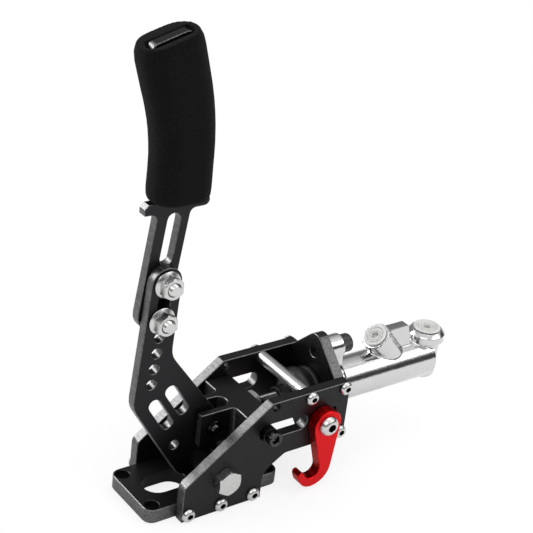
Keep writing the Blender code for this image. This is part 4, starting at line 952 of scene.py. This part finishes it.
def pushrod():
    """Threaded in the yoke, plain through the boot, with a ball that seats in the piston."""
    thread_end, ball, radius = 60 * MM, 94.1 * MM, 4.6 * MM
    profile = [(3.75 * MM, thread_end - 0.4 * MM), (4 * MM, thread_end), (4 * MM, 82 * MM),
               (2.8 * MM, 83 * MM)]
    for k in range(13):
        angle = math.radians(-52.5 + k * (90 + 52.5 - 5) / 12)
        profile.append((radius * math.cos(angle), ball + radius * math.sin(angle)))
    plain = turned("pushrod_turned", profile, 48)
    screw = thread("threaded_end", 4 * MM, 1.25 * MM, -32.5 * MM, 0)
    placed(screw, Matrix.Translation((0, 0, 27.5 * MM)) @ Matrix.Rotation(math.pi, 4, "X"))
    rod = joined("pushrod_turned", plain, screw)
    placed(rod, at(0, 0, AXIS, "X"))
    shaded(finished(rod, "crosshead", "black_steel", OXIDE, stands_for=["pushrod"]))


foam_grip()
master_cylinder()
port_plugs()
rubber_boot()
return_spring()
pushrod()

# The pieces out of sight inside the cylinder keep their CAD solids
for node, material in {"retaining_ring": OXIDE, "piston": BAR, "piston_seal": RUBBER}.items():
    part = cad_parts[node]
    part.data.materials.clear()
    part.data.materials.append(material)


# Floor, lights and camera

# The floor's paper, and the share of it that the camera sees as plain white
PAPER = (0.90, 0.90, 0.90, 1)
FLOOR_LIFT = 0.8
# The room that lights matt surfaces
ROOM = (0.88, 0.88, 0.88)
# Height in the room's reflection, and how bright it is there
WALLS = ((0.0, 0.75), (0.08, 0.30), (0.17, 0.05), (0.42, 0.07), (0.50, 0.70), (0.58, 0.95), (1.0, 1.0))
# How far the walls shift with depth, and their tone at the far side
WALL_SHIFT = 0.12
FAR_WALL = (0.32, 0.32, 0.32)


def studio():
    """White floor under an even white room with a dark band above the skyline, which only gloss shows."""
    deselect()
    bpy.ops.mesh.primitive_plane_add(size=12, location=(0, 0, -0.0005))
    floor = bpy.context.object
    floor.name = "studio_floor"
    white = bpy.data.materials.new("studio_floor")
    white.use_nodes = True
    paper = Nodes(white.node_tree)
    sheet = paper.node("ShaderNodeBsdfDiffuse", {}, PAPER)
    glow = paper.node("ShaderNodeEmission", {})
    seen = paper.node("ShaderNodeLightPath", {}, output="Is Camera Ray")
    lifted = paper.node("ShaderNodeMixShader", {}, seen * FLOOR_LIFT, sheet, glow)
    paper.tree.links.new(lifted.socket, paper.tree.nodes["Material Output"].inputs["Surface"])
    floor.data.materials.append(white)

    world = bpy.data.worlds.new("studio")
    bpy.context.scene.world = world
    world.use_nodes = True
    sky = Nodes(world.node_tree)
    place = sky.node("ShaderNodeTexCoord", {}, output="Generated")
    height = sky.node("ShaderNodeSeparateXYZ", {}, place, output="Z")
    depth = sky.node("ShaderNodeSeparateXYZ", {}, place, output="Y")
    stops = [(position, (level, level, level)) for position, level in WALLS]
    walls = sky.node("ShaderNodeValToRGB", {"stops": stops}, height - depth * WALL_SHIFT, output="Color")
    walls = sky.blend(depth.clamped(), walls, FAR_WALL)
    gloss = sky.node("ShaderNodeLightPath", {}, output="Is Glossy Ray")
    through = sky.node("ShaderNodeLightPath", {}, output="Is Transmission Ray")
    camera_ray = sky.node("ShaderNodeLightPath", {}, output="Is Camera Ray")
    room = sky.blend((gloss + through).clamped(), ROOM, walls)
    shown = sky.blend(camera_ray, room, (1.0, 1.0, 1.0))
    background = sky.tree.nodes["Background"]
    sky.tree.links.new(shown.socket, background.inputs["Color"])
    background.inputs["Strength"].default_value = 1.0


def softbox(name, direction, distance, size, watts, lights_matt=True):
    aim = Vector((0.03, 0, 0.10))
    toward = Vector(direction).normalized()
    data = bpy.data.lights.new(name, "AREA")
    data.shape = "RECTANGLE"
    data.size, data.size_y = size
    data.energy = watts
    lamp = bpy.data.objects.new(name, data)
    bpy.context.scene.collection.objects.link(lamp)
    lamp.location = aim + toward * distance
    lamp.rotation_mode = "QUATERNION"
    lamp.rotation_quaternion = (-toward).to_track_quat("-Z", "Y")
    lamp.visible_diffuse = lights_matt


def camera():
    """The camera solved from the photo. Its focal length and the photo's width are in pixels."""
    focal, width = 1485, 533
    data = bpy.data.cameras.new("camera")
    data.sensor_width = 36
    data.lens = focal / width * data.sensor_width
    eye = bpy.data.objects.new("camera", data)
    bpy.context.scene.collection.objects.link(eye)
    place = Vector((-0.47695, -0.64938, 0.58250))
    right = Vector((0.81191, -0.57381, 0.10747))
    up = Vector((0.18851, 0.43191, 0.88200))
    back = -Vector((0.55251, 0.69584, -0.45884))
    turn = Matrix((right, up, back)).transposed().to_4x4()
    eye.matrix_world = Matrix.Translation(place) @ turn
    bpy.context.scene.camera = eye


studio()
softbox("back_left", (-0.54, 0.69, 0.47), 1.2, (0.6, 0.6), 14, lights_matt=False)
softbox("front_left", (-0.65, -0.55, 0.75), 1.6, (1.0, 1.0), 5)
softbox("front_right", (0.55, -0.60, 0.62), 1.6, (1.2, 0.7), 5)
softbox("overhead", (0.2, 0.1, 1.0), 1.9, (1.4, 1.4), 8)
camera()
bpy.context.scene.view_settings.view_transform = "Standard"
